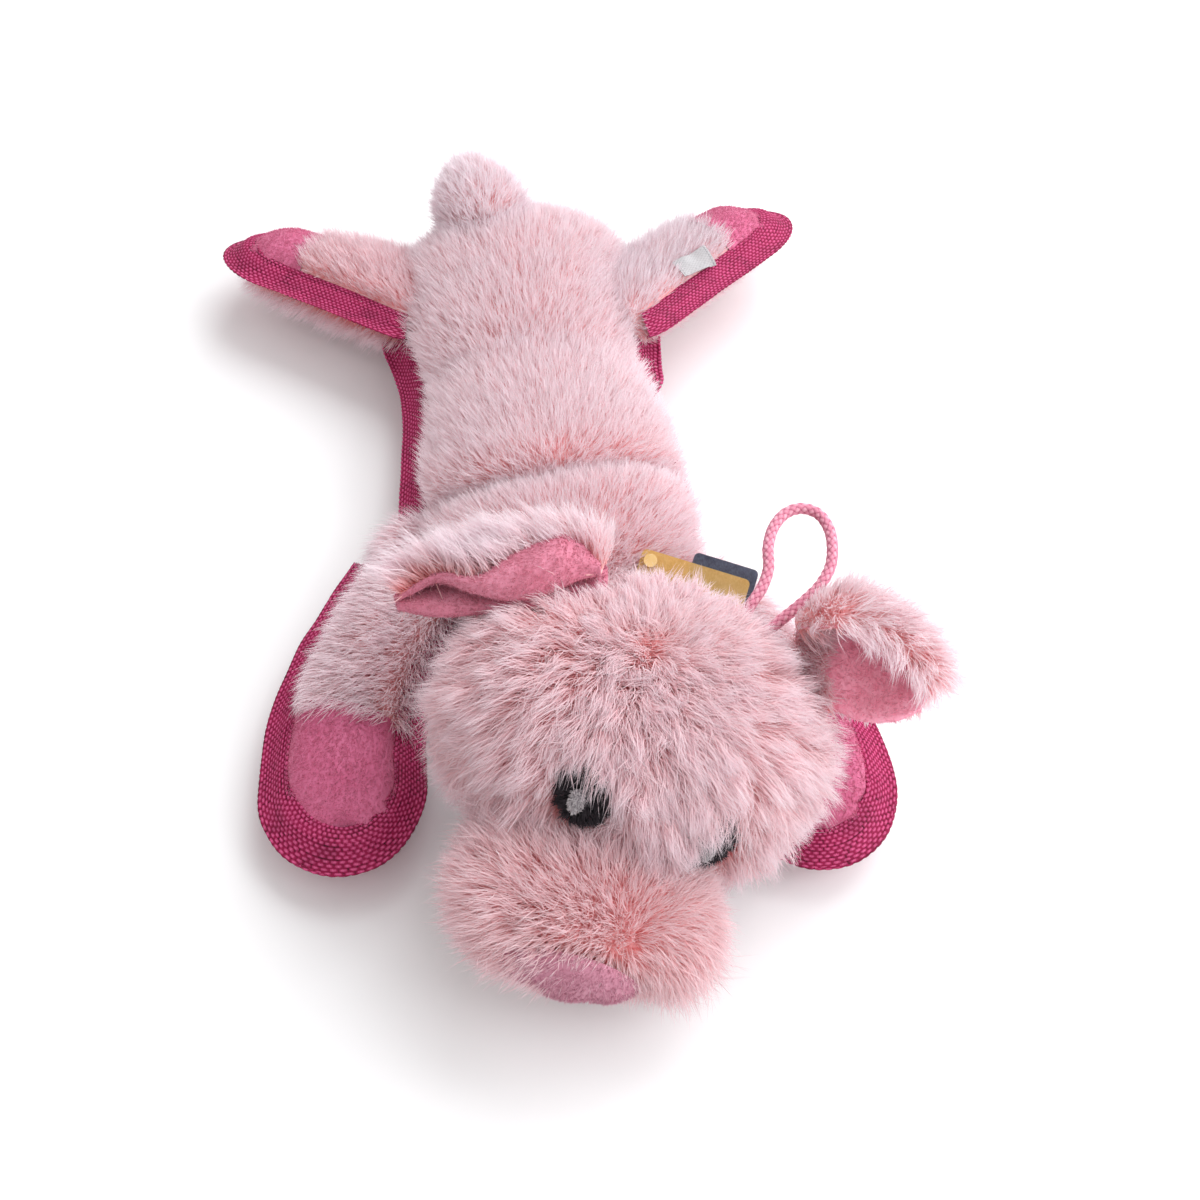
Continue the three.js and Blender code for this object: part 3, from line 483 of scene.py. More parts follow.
def material(name, group, values, bump=0.3, depth=0.0003, sheen=0.0, tint=None, passes=0.0):
    """A finish: one shared effect feeding colour, roughness and bump of its own shader, and
    the share of light that passes through a thin fibre."""
    made = bpy.data.materials.new(name)
    made.use_nodes = True
    f = Finish(made.node_tree)
    shader = next(n for n in made.node_tree.nodes if n.type == "BSDF_PRINCIPLED")
    effect = f.node("ShaderNodeGroup", node_tree=group)
    for label, value in values(f).items():
        f.put(effect.inputs[label], value)
    f.join(effect.outputs["Colour"], shader.inputs["Base Color"])
    f.join(effect.outputs["Roughness"], shader.inputs["Roughness"])
    lift = f.node("ShaderNodeBump")
    lift.inputs["Strength"].default_value = bump
    lift.inputs["Distance"].default_value = depth
    f.join(effect.outputs["Height"], lift.inputs["Height"])
    f.join(lift.outputs[0], shader.inputs["Normal"])
    shader.inputs["Specular IOR Level"].default_value = 0.25
    shader.inputs["Sheen Weight"].default_value = sheen
    shader.inputs["Sheen Roughness"].default_value = 0.5
    if tint:
        shader.inputs["Sheen Tint"].default_value = tint
    if passes:
        behind = f.node("ShaderNodeBsdfTranslucent")
        f.join(effect.outputs["Colour"], behind.inputs["Color"])
        both = f.node("ShaderNodeMixShader")
        both.inputs[0].default_value = passes
        f.join(shader.outputs[0], both.inputs[1])
        f.join(behind.outputs[0], both.inputs[2])
        end = next(n for n in made.node_tree.nodes if n.type == "OUTPUT_MATERIAL")
        f.join(both.outputs[0], end.inputs["Surface"])
    return made


def strand_values(root, middle, tip):
    """What a pile's strands tell it: how far along a place lies, and the strand's own tone."""
    def values(f):
        split = f.node("ShaderNodeSeparateXYZ")
        f.join(f.node("ShaderNodeUVMap", uv_map="Strand").outputs[0], split.inputs[0])
        return dict(Variation=split.outputs[0], Along=split.outputs[1], Root=root, Middle=middle, Tip=tip)
    return values


def nap_values(deep, face, bloom, fineness=900.0):
    return lambda f: dict(Place=f.place(), Deep=deep, Face=face, Bloom=bloom, Fineness=fineness)


def yarn_values(gap, yarn, light, twist=2500.0):
    def values(f):
        crown = f.node("ShaderNodeAttribute", attribute_name="Crown").outputs["Fac"]
        return dict(Place=f.place(), Crown=crown, Gap=gap, Yarn=yarn, Light=light, Twist=twist)
    return values


PINK_BLOOM = srgb(255, 214, 222)


def made_of(group, values, *tones, tail=(), **facts):
    """A finish from three screen tones, dark to light, of one shared effect."""
    def finish(name):
        return material(name, group, values(*(srgb(*tone) for tone in tones), *tail), **facts)
    return finish


def pile(*tones, **facts):
    return made_of(PILE_TONE, strand_values, *tones, **facts)


def nap(*tones, fineness=900.0, **facts):
    return made_of(BRUSHED_NAP, nap_values, *tones, tail=(fineness,), **facts)


def yarn(*tones, twist=2500.0, **facts):
    return made_of(SPUN_YARN, yarn_values, *tones, tail=(twist,), **facts)


BLOOM = dict(tint=PINK_BLOOM)
FINISHES = dict(
    # Pile tones run root, middle, tip; each darker warm root is partly the fur's own tone and partly painted shade
    # deep in the pile
    long_pile=pile((252, 174, 171), (253, 229, 233), (251, 244, 249), passes=0.45),
    # A paler copy of the long pile, painted light for the tail and the right hind leg
    pale_pile=pile((254, 200, 200), (252, 236, 240), (252, 247, 252), passes=0.45),
    crown_pile=pile((250, 150, 147), (249, 209, 212), (246, 235, 241), passes=0.45),
    muzzle_pile=pile((250, 166, 164), (249, 210, 212), (246, 231, 236), passes=0.5),
    eye_pile=pile((8, 7, 10), (22, 19, 24), (58, 50, 56), sheen=0.1),
    glint_pile=pile((110, 102, 106), (160, 152, 156), (206, 200, 202)),
    nose_pile=pile((184, 122, 142), (200, 140, 160), (222, 172, 190), sheen=0.3, passes=0.35, **BLOOM),
    nose_cloth=nap((186, 122, 142), (200, 138, 158), (212, 156, 174), bump=0.4, sheen=0.3, **BLOOM),
    velour_pile=pile((200, 98, 134), (216, 120, 156), (228, 142, 174), sheen=0.3, passes=0.35, **BLOOM),
    # The right ear's lining pile is a lighter copy of the left's: painted light on the right ear, painted shade on
    # the left
    lining_pile_left=pile((204, 118, 140), (218, 142, 162), (230, 164, 182), sheen=0.2, passes=0.35, **BLOOM),
    lining_pile_right=pile((248, 162, 186), (253, 188, 208), (254, 206, 222), sheen=0.2, passes=0.35, **BLOOM),
    plush_ground=nap((232, 160, 162), (242, 184, 186), (248, 204, 208), fineness=600.0, bump=0.6, depth=0.0008),
    paw_velour=nap((200, 98, 134), (212, 112, 150), (220, 126, 162), bump=0.5, depth=0.0005, sheen=0.35, **BLOOM),
    # The right ear's lining cloth is a lighter copy of the left's: painted light on the right ear, painted shade on
    # the left
    ear_lining_left=nap((202, 116, 138), (215, 136, 158), (225, 154, 176), fineness=700.0, bump=0.5, depth=0.0005,
                        sheen=0.3, **BLOOM),
    ear_lining_right=nap((246, 158, 182), (252, 180, 200), (254, 196, 214), fineness=700.0, bump=0.5, depth=0.0005,
                         sheen=0.3, **BLOOM),
    eye_cloth=nap((6, 5, 8), (20, 17, 22), (34, 30, 36), fineness=1500.0, bump=0.6),
    glint_cloth=nap((140, 132, 136), (196, 190, 192), (214, 210, 212), fineness=2000.0, bump=0.5),
    moulded_squeaker=nap((214, 208, 190), (232, 228, 214), (240, 236, 226), fineness=300.0, bump=0.1),
    pin_nylon=nap((226, 190, 122), (238, 206, 142), (246, 218, 164), fineness=400.0, bump=0.05),
    tag_card=nap((232, 194, 118), (244, 210, 140), (248, 220, 158), fineness=1800.0, bump=0.15, depth=0.0001),
    tag_leaf=nap((88, 92, 108), (112, 118, 136), (132, 138, 152), fineness=1800.0, bump=0.15, depth=0.0001),
    # Each yarn finish's first tone is painted shade for its gaps, its middle the yarn's own colour, and its last a
    # painted highlight for its crowns
    raspberry_webbing=yarn((44, 2, 18), (146, 16, 68), (230, 104, 156), bump=0.5, depth=0.0003),
    braided_cord=yarn((150, 60, 84), (222, 138, 162), (244, 194, 208), twist=3500.0, bump=0.5, depth=0.0003,
                      sheen=0.2),
    satin_label=yarn((128, 126, 130), (178, 175, 177), (206, 204, 205), twist=5000.0, bump=0.2, depth=0.0001,
                     sheen=0.1),
)
MADE = {name: finish(name) for name, finish in FINISHES.items()}

# ---------------------------------------------------------------- meshes


def piece(name, points, faces, finish, body, slot=None, replaces=(), fill=None, smooth=True):
    """A named piece from millimetre points in the toy's frame, on its body."""
    mesh = bpy.data.meshes.new(name)
    mesh.from_pydata(np.asarray(points, float) * MM, [], [tuple(int(v) for v in f) for f in faces])
    mesh.validate()
    if smooth:
        mesh.shade_smooth()
    return dress(name, mesh, finish, body, slot, replaces, fill)


def dress(name, mesh, finish, body, slot=None, replaces=(), fill=None):
    """A piece in its finish, on its body, in place of the nodes it replaces. Its slot is not used."""
    mesh.materials.append(MADE[finish])
    made = bpy.data.objects.new(name, mesh)
    bpy.context.collection.objects.link(made)
    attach(made, body)
    if replaces:
        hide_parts(*replaces)
    return made


def ring_quads(rows, around):
    """Faces between rings of places, each ring closed on itself."""
    rings = np.arange(rows * around).reshape(rows, around)
    after = np.roll(rings, -1, axis=1)
    return rings, after, np.stack((rings[:-1], after[:-1], after[1:], rings[1:]), -1).reshape(-1, 4)[:, ::-1]


def sheet_faces(rows, cols):
    """Faces between rows of places, open at all four edges."""
    index = np.arange(rows * cols).reshape(rows, cols)
    return np.stack((index[:-1, :-1], index[1:, :-1], index[1:, 1:], index[:-1, 1:]), -1).reshape(-1, 4)


def skin_grid(form, along, around):
    """Lengths, angles and faces of a closed grid over a form."""
    k = np.arange(1, along)
    s = form.length * (1 - np.cos(np.pi * k / along)) / 2
    a = 2 * np.pi * np.arange(around) / around
    S, A = np.meshgrid(s, a, indexing="ij")
    rings, after, quads = ring_quads(along - 1, around)
    first, last = rings.size, rings.size + 1
    faces = [tuple(q) for q in quads]
    faces += [(first, rings[0, j], after[0, j]) for j in range(around)]
    faces += [(last, after[-1, j], rings[-1, j]) for j in range(around)]
    S = np.r_[S.ravel(), 0, form.length]
    A = np.r_[A.ravel(), 0, 0]
    return S, A, faces


def facing_out(points, faces, along):
    """Faces and smooth normals of a closed grid, turned to point outwards."""
    total = np.zeros_like(points)
    for size in (3, 4):
        f = np.array([q for q in faces if len(q) == size], int)
        if len(f):
            n = np.cross(points[f[:, 1]] - points[f[:, 0]], points[f[:, -1]] - points[f[:, 0]])
            for k in range(size):
                np.add.at(total, f[:, k], n)
    normals = unit(total)
    if (normals[:along] * (points[:along] - points.mean(0))).sum() < 0:
        return [f[::-1] for f in faces], -normals
    return faces, normals


def solid_tree(points, faces):
    """A surface that rays and places can be tested against."""
    return BVHTree.FromPolygons([tuple(p) for p in points], [tuple(map(int, f)) for f in faces])


def mark_crown(made, crown):
    """Tells the yarn finish how high each place lies on its yarn, which it paints as shade when low and as a
    highlight when high.
    """
    heights = made.data.attributes.new("Crown", "FLOAT", "POINT")
    heights.data.foreach_set("value", crown.ravel().astype(np.float32))


def thickened(made, thickness, offset=-1):
    modifier = made.modifiers.new("thickness", "SOLIDIFY")
    modifier.thickness, modifier.offset = thickness, offset


def cloth(name, form, finish, body, shape=None, cuts=(), hollow=(), along=72, around=64, **facts):
    """A cloth panel of a form: shape moves it in or out along its normals, cuts are planes
    in the form's frame that keep the side they face, and what lies in hollow forms goes."""
    S, A, faces = skin_grid(form, along, around)
    points = form.local(S, A)
    faces, normals = facing_out(points, faces, along)
    if shape is not None:
        points = points + normals * shape(form.world(points), S, A)[:, None]
    bm = bmesh.new()
    verts = [bm.verts.new(p) for p in points]
    for f in faces:
        bm.faces.new([verts[i] for i in f])
    for at, facing in cuts:
        bmesh.ops.bisect_plane(
            bm, geom=bm.verts[:] + bm.edges[:] + bm.faces[:], dist=1e-5, plane_co=at, plane_no=facing,
            clear_inner=True)
    bm.verts.index_update()
    bm.faces.ensure_lookup_table()
    places = form.world(np.array([v.co for v in bm.verts]).reshape(-1, 3))
    if hollow:
        middles = form.world(np.array([f.calc_center_median() for f in bm.faces]).reshape(-1, 3))
        buried = np.zeros(len(middles), bool)
        for other, grow in hollow:
            buried |= other.fullness(middles, grow) < 1
        bmesh.ops.delete(bm, geom=[f for f, gone in zip(bm.faces[:], buried) if gone], context="FACES")
    mesh = bpy.data.meshes.new(name)
    bm.to_mesh(mesh)
    bm.free()
    mesh.transform(Matrix(form.place.tolist()))
    mesh.transform(Matrix.Scale(MM, 4))
    mesh.shade_smooth()
    return dress(name, mesh, finish, body, **facts)


# ---------------------------------------------------------------- fur


def place_tree(places):
    tree = KDTree(len(places))
    for i, place in enumerate(places):
        tree.insert(place, i)
    tree.balance()
    return tree


def nearest_on(places, roots):
    """The nearest of some places to every root, and how far it is."""
    tree = place_tree(places)
    found = [tree.find(r) for r in roots]
    return np.array([f[0] for f in found]), np.array([f[2] for f in found])


def nearest_index(tree, roots):
    return np.fromiter((tree.find(r)[1] for r in roots), np.int64, len(roots))


def sample(mesh, per_mm2, rng):
    """Seeded points over a mesh with their normals, in millimetres."""
    mesh.calc_loop_triangles()
    corners = np.empty(len(mesh.loop_triangles) * 3, np.int32)
    mesh.loop_triangles.foreach_get("vertices", corners)
    corners = corners.reshape(-1, 3)
    co = np.empty(len(mesh.vertices) * 3)
    mesh.vertices.foreach_get("co", co)
    co = co.reshape(-1, 3) / MM
    no = np.empty(len(mesh.vertices) * 3)
    mesh.vertex_normals.foreach_get("vector", no)
    no = no.reshape(-1, 3)
    a, b, c = (co[corners[:, k]] for k in range(3))
    area = np.linalg.norm(np.cross(b - a, c - a), axis=1) / 2
    count = int(area.sum() * per_mm2)
    pick = rng.choice(len(area), count, p=area / area.sum())
    r1, r2 = np.sqrt(rng.random(count)), rng.random(count)
    share = np.c_[1 - r1, r1 * (1 - r2), r1 * r2]
    roots = (co[corners[pick]] * share[:, :, None]).sum(1)
    normals = unit((no[corners[pick]] * share[:, :, None]).sum(1))
    return roots, normals


def fur(name, source, finish, body, per_mm2, length, comb, lean=(15, 50), width=0.34, gather=0.5,
        clump=12, droop=0.0, seed=1, keep=None, slot="fur", floor=0.5, vary=0.22, sink=0.6, rings=4,
        beside=None, room=1.3, shyness=5.0, wave=0.06, stray=0.4, clear=None):
    """Pile on a cloth piece: tapered strands that bend from upright at the root to combed
    at the tip and gather in clumps. comb gives a direction for every root, and length and
    lean, in degrees at root and tip, may be functions of the roots too. Strands keep room
    from the places beside them and are shy, so shorter and flatter, a little farther off.
    keep says which roots grow, and clear which finished strands stay."""
    rng = np.random.default_rng(seed)
    roots, normals = sample(source.data, per_mm2, rng)
    if keep is not None:
        kept = keep(roots)
        roots, normals = roots[kept], normals[kept]
    shy = np.zeros((len(roots), 1))
    if beside is not None:
        near, gap = nearest_on(beside, roots)
        kept = gap > room
        roots, normals, near, gap = roots[kept], normals[kept], near[kept], gap[kept]
        shy = (1 - ease(gap, room, room + shyness))[:, None]
        away = unit(roots - near)
    count = len(roots)
    way = comb(roots, normals)
    if beside is not None:
        way = unit(way) + 0.7 * shy * away
    way = way + rng.normal(0, stray, (count, 3)) * np.linalg.norm(way, axis=1, keepdims=True)
    way = unit(way - normals * (way * normals).sum(1, keepdims=True))
    long = length(roots) if callable(length) else np.full(count, float(length))
    long = long * (1 + vary * rng.normal(0, 1, count)).clip(0.45, 1.5)
    start, end = np.radians(lean(roots) if callable(lean) else np.tile(lean, (count, 1))).T
    long = long * (1 - 0.4 * shy[:, 0])
    start, end = start + 0.35 * shy[:, 0], end + 0.4 * shy[:, 0]
    jitter = np.radians(rng.normal(0, 12, count))
    marks = np.array((0.0, 0.3, 0.62, 1.0) if rings == 4 else (0.0, 0.5, 1.0))
    line = [roots - normals * sink]
    for before, after in zip(marks[:-1], marks[1:]):
        t = (before + after) / 2
        angle = (start + (end - start) * t + jitter)[:, None]
        step = normals * np.cos(angle) + way * np.sin(angle)
        step[:, 2] -= droop * t
        line.append(line[-1] + unit(step) * (long * (after - before))[:, None])
    line = np.stack(line, 1)
    guides = rng.choice(count, max(1, count // clump), replace=False)
    nearest = guides[nearest_index(place_tree(roots[guides]), roots)]
    pull = (gather * rng.uniform(0.5, 1.25, count)).clip(0, 0.95)[:, None] * marks ** 1.3
    line = line + pull[:, :, None] * (line[nearest] - line)
    sway = unit(np.cross(normals, way)) * (long * wave * rng.normal(0, 1, count))[:, None]
    line = line + sway[:, None, :] * np.sin(marks * 4.5 + 0.4)[None, :, None]
    line[:, :, 2] = np.maximum(line[:, :, 2], floor)
    if clear is not None:
        kept = clear(line)
        count = int(kept.sum())
        # The filter renumbers the strands, so a clump's tone is drawn from any place within count
        line, normals, nearest = line[kept], normals[kept], nearest[kept] % count
    tone = rng.random(count) * 0.6 + rng.random(count)[nearest] * 0.4
    wide = width * rng.uniform(0.7, 1.3, count)
    most = MOST_TRIANGLES // (2 * rings - 3)
    for part in range(0, count, most):
        some = slice(part, part + most)
        label = name if part == 0 else f"{name}_more_{part // most}"
        ribbons(label, line[some], normals[some], wide[some], tone[some], marks, finish, body, slot, rng)


def misses(places, gap):
    """Keeps the strands that pass some places by more than a gap."""
    def clear(line):
        return np.min([nearest_on(places, line[:, ring])[1] for ring in range(1, line.shape[1])], axis=0) > gap
    return clear


def ribbons(name, line, normals, width, tone, marks, finish, body, slot, rng):
    """Strands as thin tapered ribbons that face out of the pile."""
    count, rings = line.shape[:2]
    flow = unit(np.gradient(line, axis=1))
    across = np.cross(flow, normals[:, None, :]) + rng.normal(0, 0.35, (count, 1, 3))
    across = unit(across - flow * (across * flow).sum(2, keepdims=True))
    taper = 1 - marks ** 2.2
    off = across * (width[:, None] * taper / 2)[:, :, None]
    verts = np.empty((count, 2 * rings - 1, 3))
    verts[:, 0:-1:2] = (line - off)[:, :-1]
    verts[:, 1::2] = (line + off)[:, :-1]
    verts[:, -1] = line[:, -1]
    tip = 2 * (rings - 2)
    pattern = [tri for a in range(0, tip, 2) for tri in ((a, a + 1, a + 3), (a, a + 3, a + 2))]
    pattern = np.array(pattern + [(tip, tip + 1, tip + 2)])
    base = np.arange(count)[:, None, None] * (2 * rings - 1)
    tris = (pattern[None] + base).reshape(-1, 3)
    mesh = bpy.data.meshes.new(name)
    mesh.vertices.add(count * (2 * rings - 1))
    mesh.vertices.foreach_set("co", (verts * MM).astype(np.float32).ravel())
    mesh.loops.add(tris.size)
    mesh.loops.foreach_set("vertex_index", tris.astype(np.int32).ravel())
    mesh.polygons.add(len(tris))
    mesh.polygons.foreach_set("loop_start", np.arange(0, tris.size, 3, dtype=np.int32))
    mesh.update(calc_edges=True)
    along = np.r_[np.repeat(marks[:-1], 2), marks[-1]]
    corner_along = np.tile(along[pattern].ravel(), count)
    side = np.r_[np.tile((-1.0, 1.0), rings - 1), 0.0]
    corner_side = np.tile(side[pattern].ravel(), count)
    corner_tone = np.repeat(tone, pattern.size)
    flat = np.c_[(corner_tone * 0.98 + 0.01 + corner_side * 0.002), corner_along * 0.96 + 0.02]
    for label in ("Strand", "OFBake"):
        mesh.uv_layers.new(name=label).data.foreach_set("uv", flat.astype(np.float32).ravel())
    mesh.shade_smooth()
    return dress(name, mesh, finish, body, slot)


# ---------------------------------------------------------------- torso


def fold_depth(points):
    """How deep the folds across the back are at a place, strongest on top."""
    x, y, z = points.T
    depth = 0
    for at, deep, wide in BACK_FOLDS:
        line = at + 0.0022 * x ** 2 + 2.0 * np.sin(x / 17 + at)
        depth = depth + deep * np.exp(-((y - line) / wide) ** 2) * ease(z, 20, 44)
    return depth


def torso_shape(points, s, a):
    """The torso's cloth: inside its solid, lumpy, folded on top and drawn in at the seam."""
    top = ease(np.sin(a), 0.1, 0.8)
    inset = 1.8 + 1.6 * top
    bulge = 1.6 * lumps(points, 34, 3) + 0.7 * lumps(points, 13, 4)
    seam = 2.0 * np.exp(-(np.sin(a) / 0.12) ** 2)
    flat = ease(-np.sin(a), 0.3, 0.7)
    return -inset * (1 - 0.7 * flat) + bulge * (1 - flat) - fold_depth(points) - seam


TORSO_HOLLOWS = [(form, -2.0) for form in LEG_FORMS.values()] + [(SKULL_FORM, -3.0)]
ABOVE, BELOW = ((0, 0, 0), (0, 0, 1)), ((0, 0, 0), (0, 0, -1))
back_cloth = cloth(
    "back_cloth", TORSO_FORM, "plush_ground", "torso", torso_shape, cuts=[ABOVE], hollow=TORSO_HOLLOWS,
    along=96, around=80, slot="fur", fill=0.6, replaces=("back_panel", "torso_stuffing"))
belly_cloth = cloth(
    "belly_cloth", TORSO_FORM, "plush_ground", "torso", torso_shape,
    cuts=[BELOW, ((0, 0, 0.6 - SEAM_HEIGHT), (0, 0, 1))], hollow=TORSO_HOLLOWS,
    along=72, around=64, slot="fur", fill=0.5, replaces=("belly_panel",))


def clear_of(*forms, margin=0.0):
    """Keeps the roots that lie outside these forms."""
    def keep(roots):
        kept = np.ones(len(roots), bool)
        for form in forms:
            kept &= form.fullness(roots, margin) > 1
        return kept
    return keep


def back_comb(roots, normals):
    """Pile that lies towards the tail and parts from the middle of the back."""
    way = np.tile((0.0, 1.0, -0.1), (len(roots), 1))
    way[:, 0] += 0.25 * lumps(roots, 26, 9) + roots[:, 0] / 160
    way[:, 1] += 0.35 * lumps(roots, 22, 10)
    return way


# ---------------------------------------------------------------- legs


def leg_shape(inset_side, inset_top):
    """A leg's cloth, inset by so much at its sides and so much more on top."""
    def shape(points, s, a):
        top = ease(np.sin(a), 0.55, 0.95)
        under = ease(-np.sin(a), 0.4, 0.9)
        inset = inset_side + inset_top * top + 1.2 * under
        bulge = 0.8 * lumps(points, 21, 5) + 0.45 * lumps(points, 8, 6)
        return -inset + bulge * (1 - 0.6 * under)
    return shape


def pad_plane(form, pad, slant):
    """The seam between the upper fur and the velour, nearly square to the toe."""
    x, y, angle = form.spine(np.array(form.length))
    at = (float(x) - pad * math.cos(angle), float(y) - pad * math.sin(angle), 0)
    angle = angle + math.radians(slant)
    return at, (math.cos(angle), math.sin(angle), 0)


PLUSH_LEG, VELOUR_LEG = leg_shape(0.8, 3.2), leg_shape(-0.2, 0.2)


def leg_comb(form, aside, unruly):
    """Pile that lies along a leg to its toe, and somewhat aside."""
    def comb(roots, normals):
        own = form.own(roots)
        x, y = form.line[::8].T
        near = np.argmin((own[:, 0, None] - x) ** 2 + (own[:, 1, None] - y) ** 2, 1)
        angle = form.angle(form.steps[::8][near])
        way = np.c_[np.cos(angle), np.sin(angle), np.full(len(own), -0.1)]
        way = way + unruly * drift(roots, 18, 21)
        return unit(way @ form.place[:3, :3].T) + np.array(aside)
    return comb


# ---------------------------------------------------------------- webbing


def outline(form, lengths, sides):
    """Plan points of a form's seam edge at these lengths, on side +1 or -1."""
    around = np.where(np.asarray(sides) > 0, 0.0, np.pi)
    return form.local(np.asarray(lengths, float), around)[:, :2]


def evenly(points, step):
    """A run of points spaced by about one step, and how far along it each lies."""
    gone = np.r_[0, np.cumsum(np.linalg.norm(np.diff(points, axis=0), axis=1))]
    marks = np.linspace(0, gone[-1], max(3, int(round(gone[-1] / step)) + 1))
    return np.stack([np.interp(marks, gone, points[:, k]) for k in range(points.shape[1])], 1), marks


def cover_of(grid):
    """A sheet's places, thinned out, as a surface that strands can be tested against."""
    return solid_tree(grid.reshape(-1, 3), sheet_faces(*grid.shape[:2]))


def crosses_none(*covers):
    """Keeps the strands that go through none of some sheets."""
    def clear(line):
        free = np.ones(len(line), bool)
        middle = line.shape[1] // 2
        for start, end in ((0, middle), (middle, -1)):
            for i, (a, b) in enumerate(zip(line[:, start], line[:, end])):
                way = Vector(b - a)
                free[i] &= all(cover.ray_cast(Vector(a), way, way.length)[0] is None for cover in covers)
        return free
    return clear


def woven(along, across):
    """Height from 0 in the gaps to 1 on a yarn's crown, in a brick weave."""
    long, wide = TAPE["pitch"]
    u = (along / long + 0.5 * (np.floor(across / wide) % 2)) % 1 - 0.5
    v = (across / wide) % 1 - 0.5
    return np.sqrt(np.maximum(0, 1 - (2 * u) ** 2)) * np.sqrt(np.maximum(0, 1 - (2 * v) ** 2)) ** 0.8


def tape(name, node, form, route, body, seed, lip=0.44, toe_lip=0.7, middle=None, slim=None):
    """A woven tape folded over a seam edge: a flange beyond the cloth, an upper leg that
    climbs the cloth to its lip, and a short leg below. route is the seam edge in plan and
    middle a place inside it. lip and toe_lip say how far round it climbs, in radians.
    slim is where along it the flange has grown to its full width."""
    skin = skin_of(form)
    route, marks = evenly(np.asarray(route, float), TAPE["step"])
    flow = np.gradient(route, axis=0)
    for _ in range(6):
        flow[1:-1] = (flow[:-2] + flow[1:-1] * 2 + flow[2:]) / 4
    flow = unit(flow)
    out = np.c_[flow[:, 1], -flow[:, 0]]
    middle = route.mean(0) if middle is None else np.array(middle)
    if ((route + out - middle) ** 2).sum() < ((route - out - middle) ** 2).sum():
        out = -out
    t = np.linspace(-1, 1, TAPE["places"])[None, :]
    wide, tall = TAPE["wide"], TAPE["tall"]
    around_toe = np.exp(-((marks - marks[-1] / 2) / TAPE["toe"]) ** 2)[:, None]
    edge_wave = 0.5 * lumps(np.c_[route, 0 * marks], 13, seed + 2)[:, None]
    climbed = lip + (toe_lip - lip) * around_toe + 0.05 * edge_wave
    climb = np.where(t > 0, climbed * t, TAPE["under"] / tall * -t)
    flange = (WEBBING_WIDTH + 1.8 + edge_wave) * (1 - np.abs(t)) ** 1.2
    if slim:
        flange = flange * (0.06 + 0.94 * ease(marks / marks[-1], slim - 0.14, slim))[:, None]
    n = flange - wide * (1 - np.cos(climb)) * (t > 0) - 0.5 * (t < 0) * -t
    z = tall * np.sin(climb) * ease(np.abs(t) * 1.1 + 0.1) * np.sign(t)
    plan = route[:, None, :] + out[:, None, :] * n[..., None]
    points = np.concatenate((plan, z[..., None]), 2)
    rows, cols = points.shape[:2]
    flat = points.reshape(-1, 3)
    rest = TAPE["rest"]
    for i, out_to in enumerate(np.tile(np.abs(t[0]), rows)):
        near, facing, _, _ = skin.find_nearest(flat[i])
        gap = (Vector(flat[i]) - near).dot(facing)
        if gap < rest or (out_to > 0.62 and gap > rest + 0.3):
            hold = ease(out_to, 0.62, 0.85) if gap > rest else 1.0
            seat = rest - (rest - TAPE["at_lip"]) * ease(out_to, 0.78, 1)
            flat[i] = flat[i] * (1 - hold) + np.array(near + facing * seat) * hold
    grid = flat.reshape(rows, cols, 3)
    for _ in range(2):
        grid[1:-1] = (grid[:-2] + 2 * grid[1:-1] + grid[2:]) / 4
    across = np.r_[0, np.cumsum(np.linalg.norm(np.diff(grid, axis=1), axis=2).mean(0))]
    along_mm, across_mm = np.meshgrid(marks, across, indexing="ij")
    waver = 0.7 * lumps(np.stack((along_mm, across_mm, 0 * across_mm), -1), 7, seed)
    crown = woven(along_mm + waver, across_mm + 0.4 * waver)
    da, db = np.gradient(grid, axis=0), np.gradient(grid, axis=1)
    normal = unit(np.cross(da, db))
    away = grid - np.concatenate((np.broadcast_to(route[:, None], plan.shape), 0 * plan[..., :1]), 2)
    if (normal * away).sum() < 0:
        normal = -normal
    edge = np.minimum(1, np.minimum(across_mm, across_mm.max() - across_mm) / 1.2)
    grid = grid + normal * ((crown - 0.5) * TAPE["relief"] * edge + 0.25 * lumps(grid, 11, seed + 1))[..., None]
    grid[:, (0, -2, -1)] -= normal[:, (0, -2, -1)] * np.array((0.5, 0.4, 0.9))[None, :, None]
    places = form.world(grid.reshape(-1, 3))
    places[:, 2] = np.maximum(places[:, 2], 0.3)
    made = piece(name, places, sheet_faces(rows, cols), "raspberry_webbing", body, "webbing", (node,))
    mark_crown(made, crown)
    return places.reshape(rows, cols, 3)[::3, ::3]


def skin_of(form, along=60, around=48, drop=0.0):
    """A form's surface to lay things on, in its own frame or in one that lies above it."""
    S, A, faces = skin_grid(form, along, around)
    points = form.local(S, A) - (0, 0, drop)
    return solid_tree(points, facing_out(points, faces, along)[0])


def leg_route(name):
    """A leg's seam edge from its root round the toe and back, closely spaced at the toe."""
    form = LEG_FORMS[name]
    root = LEGS[name]["form"]["ends"][0]
    slowing = (np.sin(np.linspace(0, np.pi / 2, 240)), np.sin(np.linspace(np.pi / 2, 0, 240)))
    down, back = (form.length - (form.length - root - start) * (1 - slow)
                  for start, slow in zip(TAPE_STARTS[name], slowing))
    return np.vstack((outline(form, down, np.ones(240)), outline(form, back[1:], -np.ones(239))))


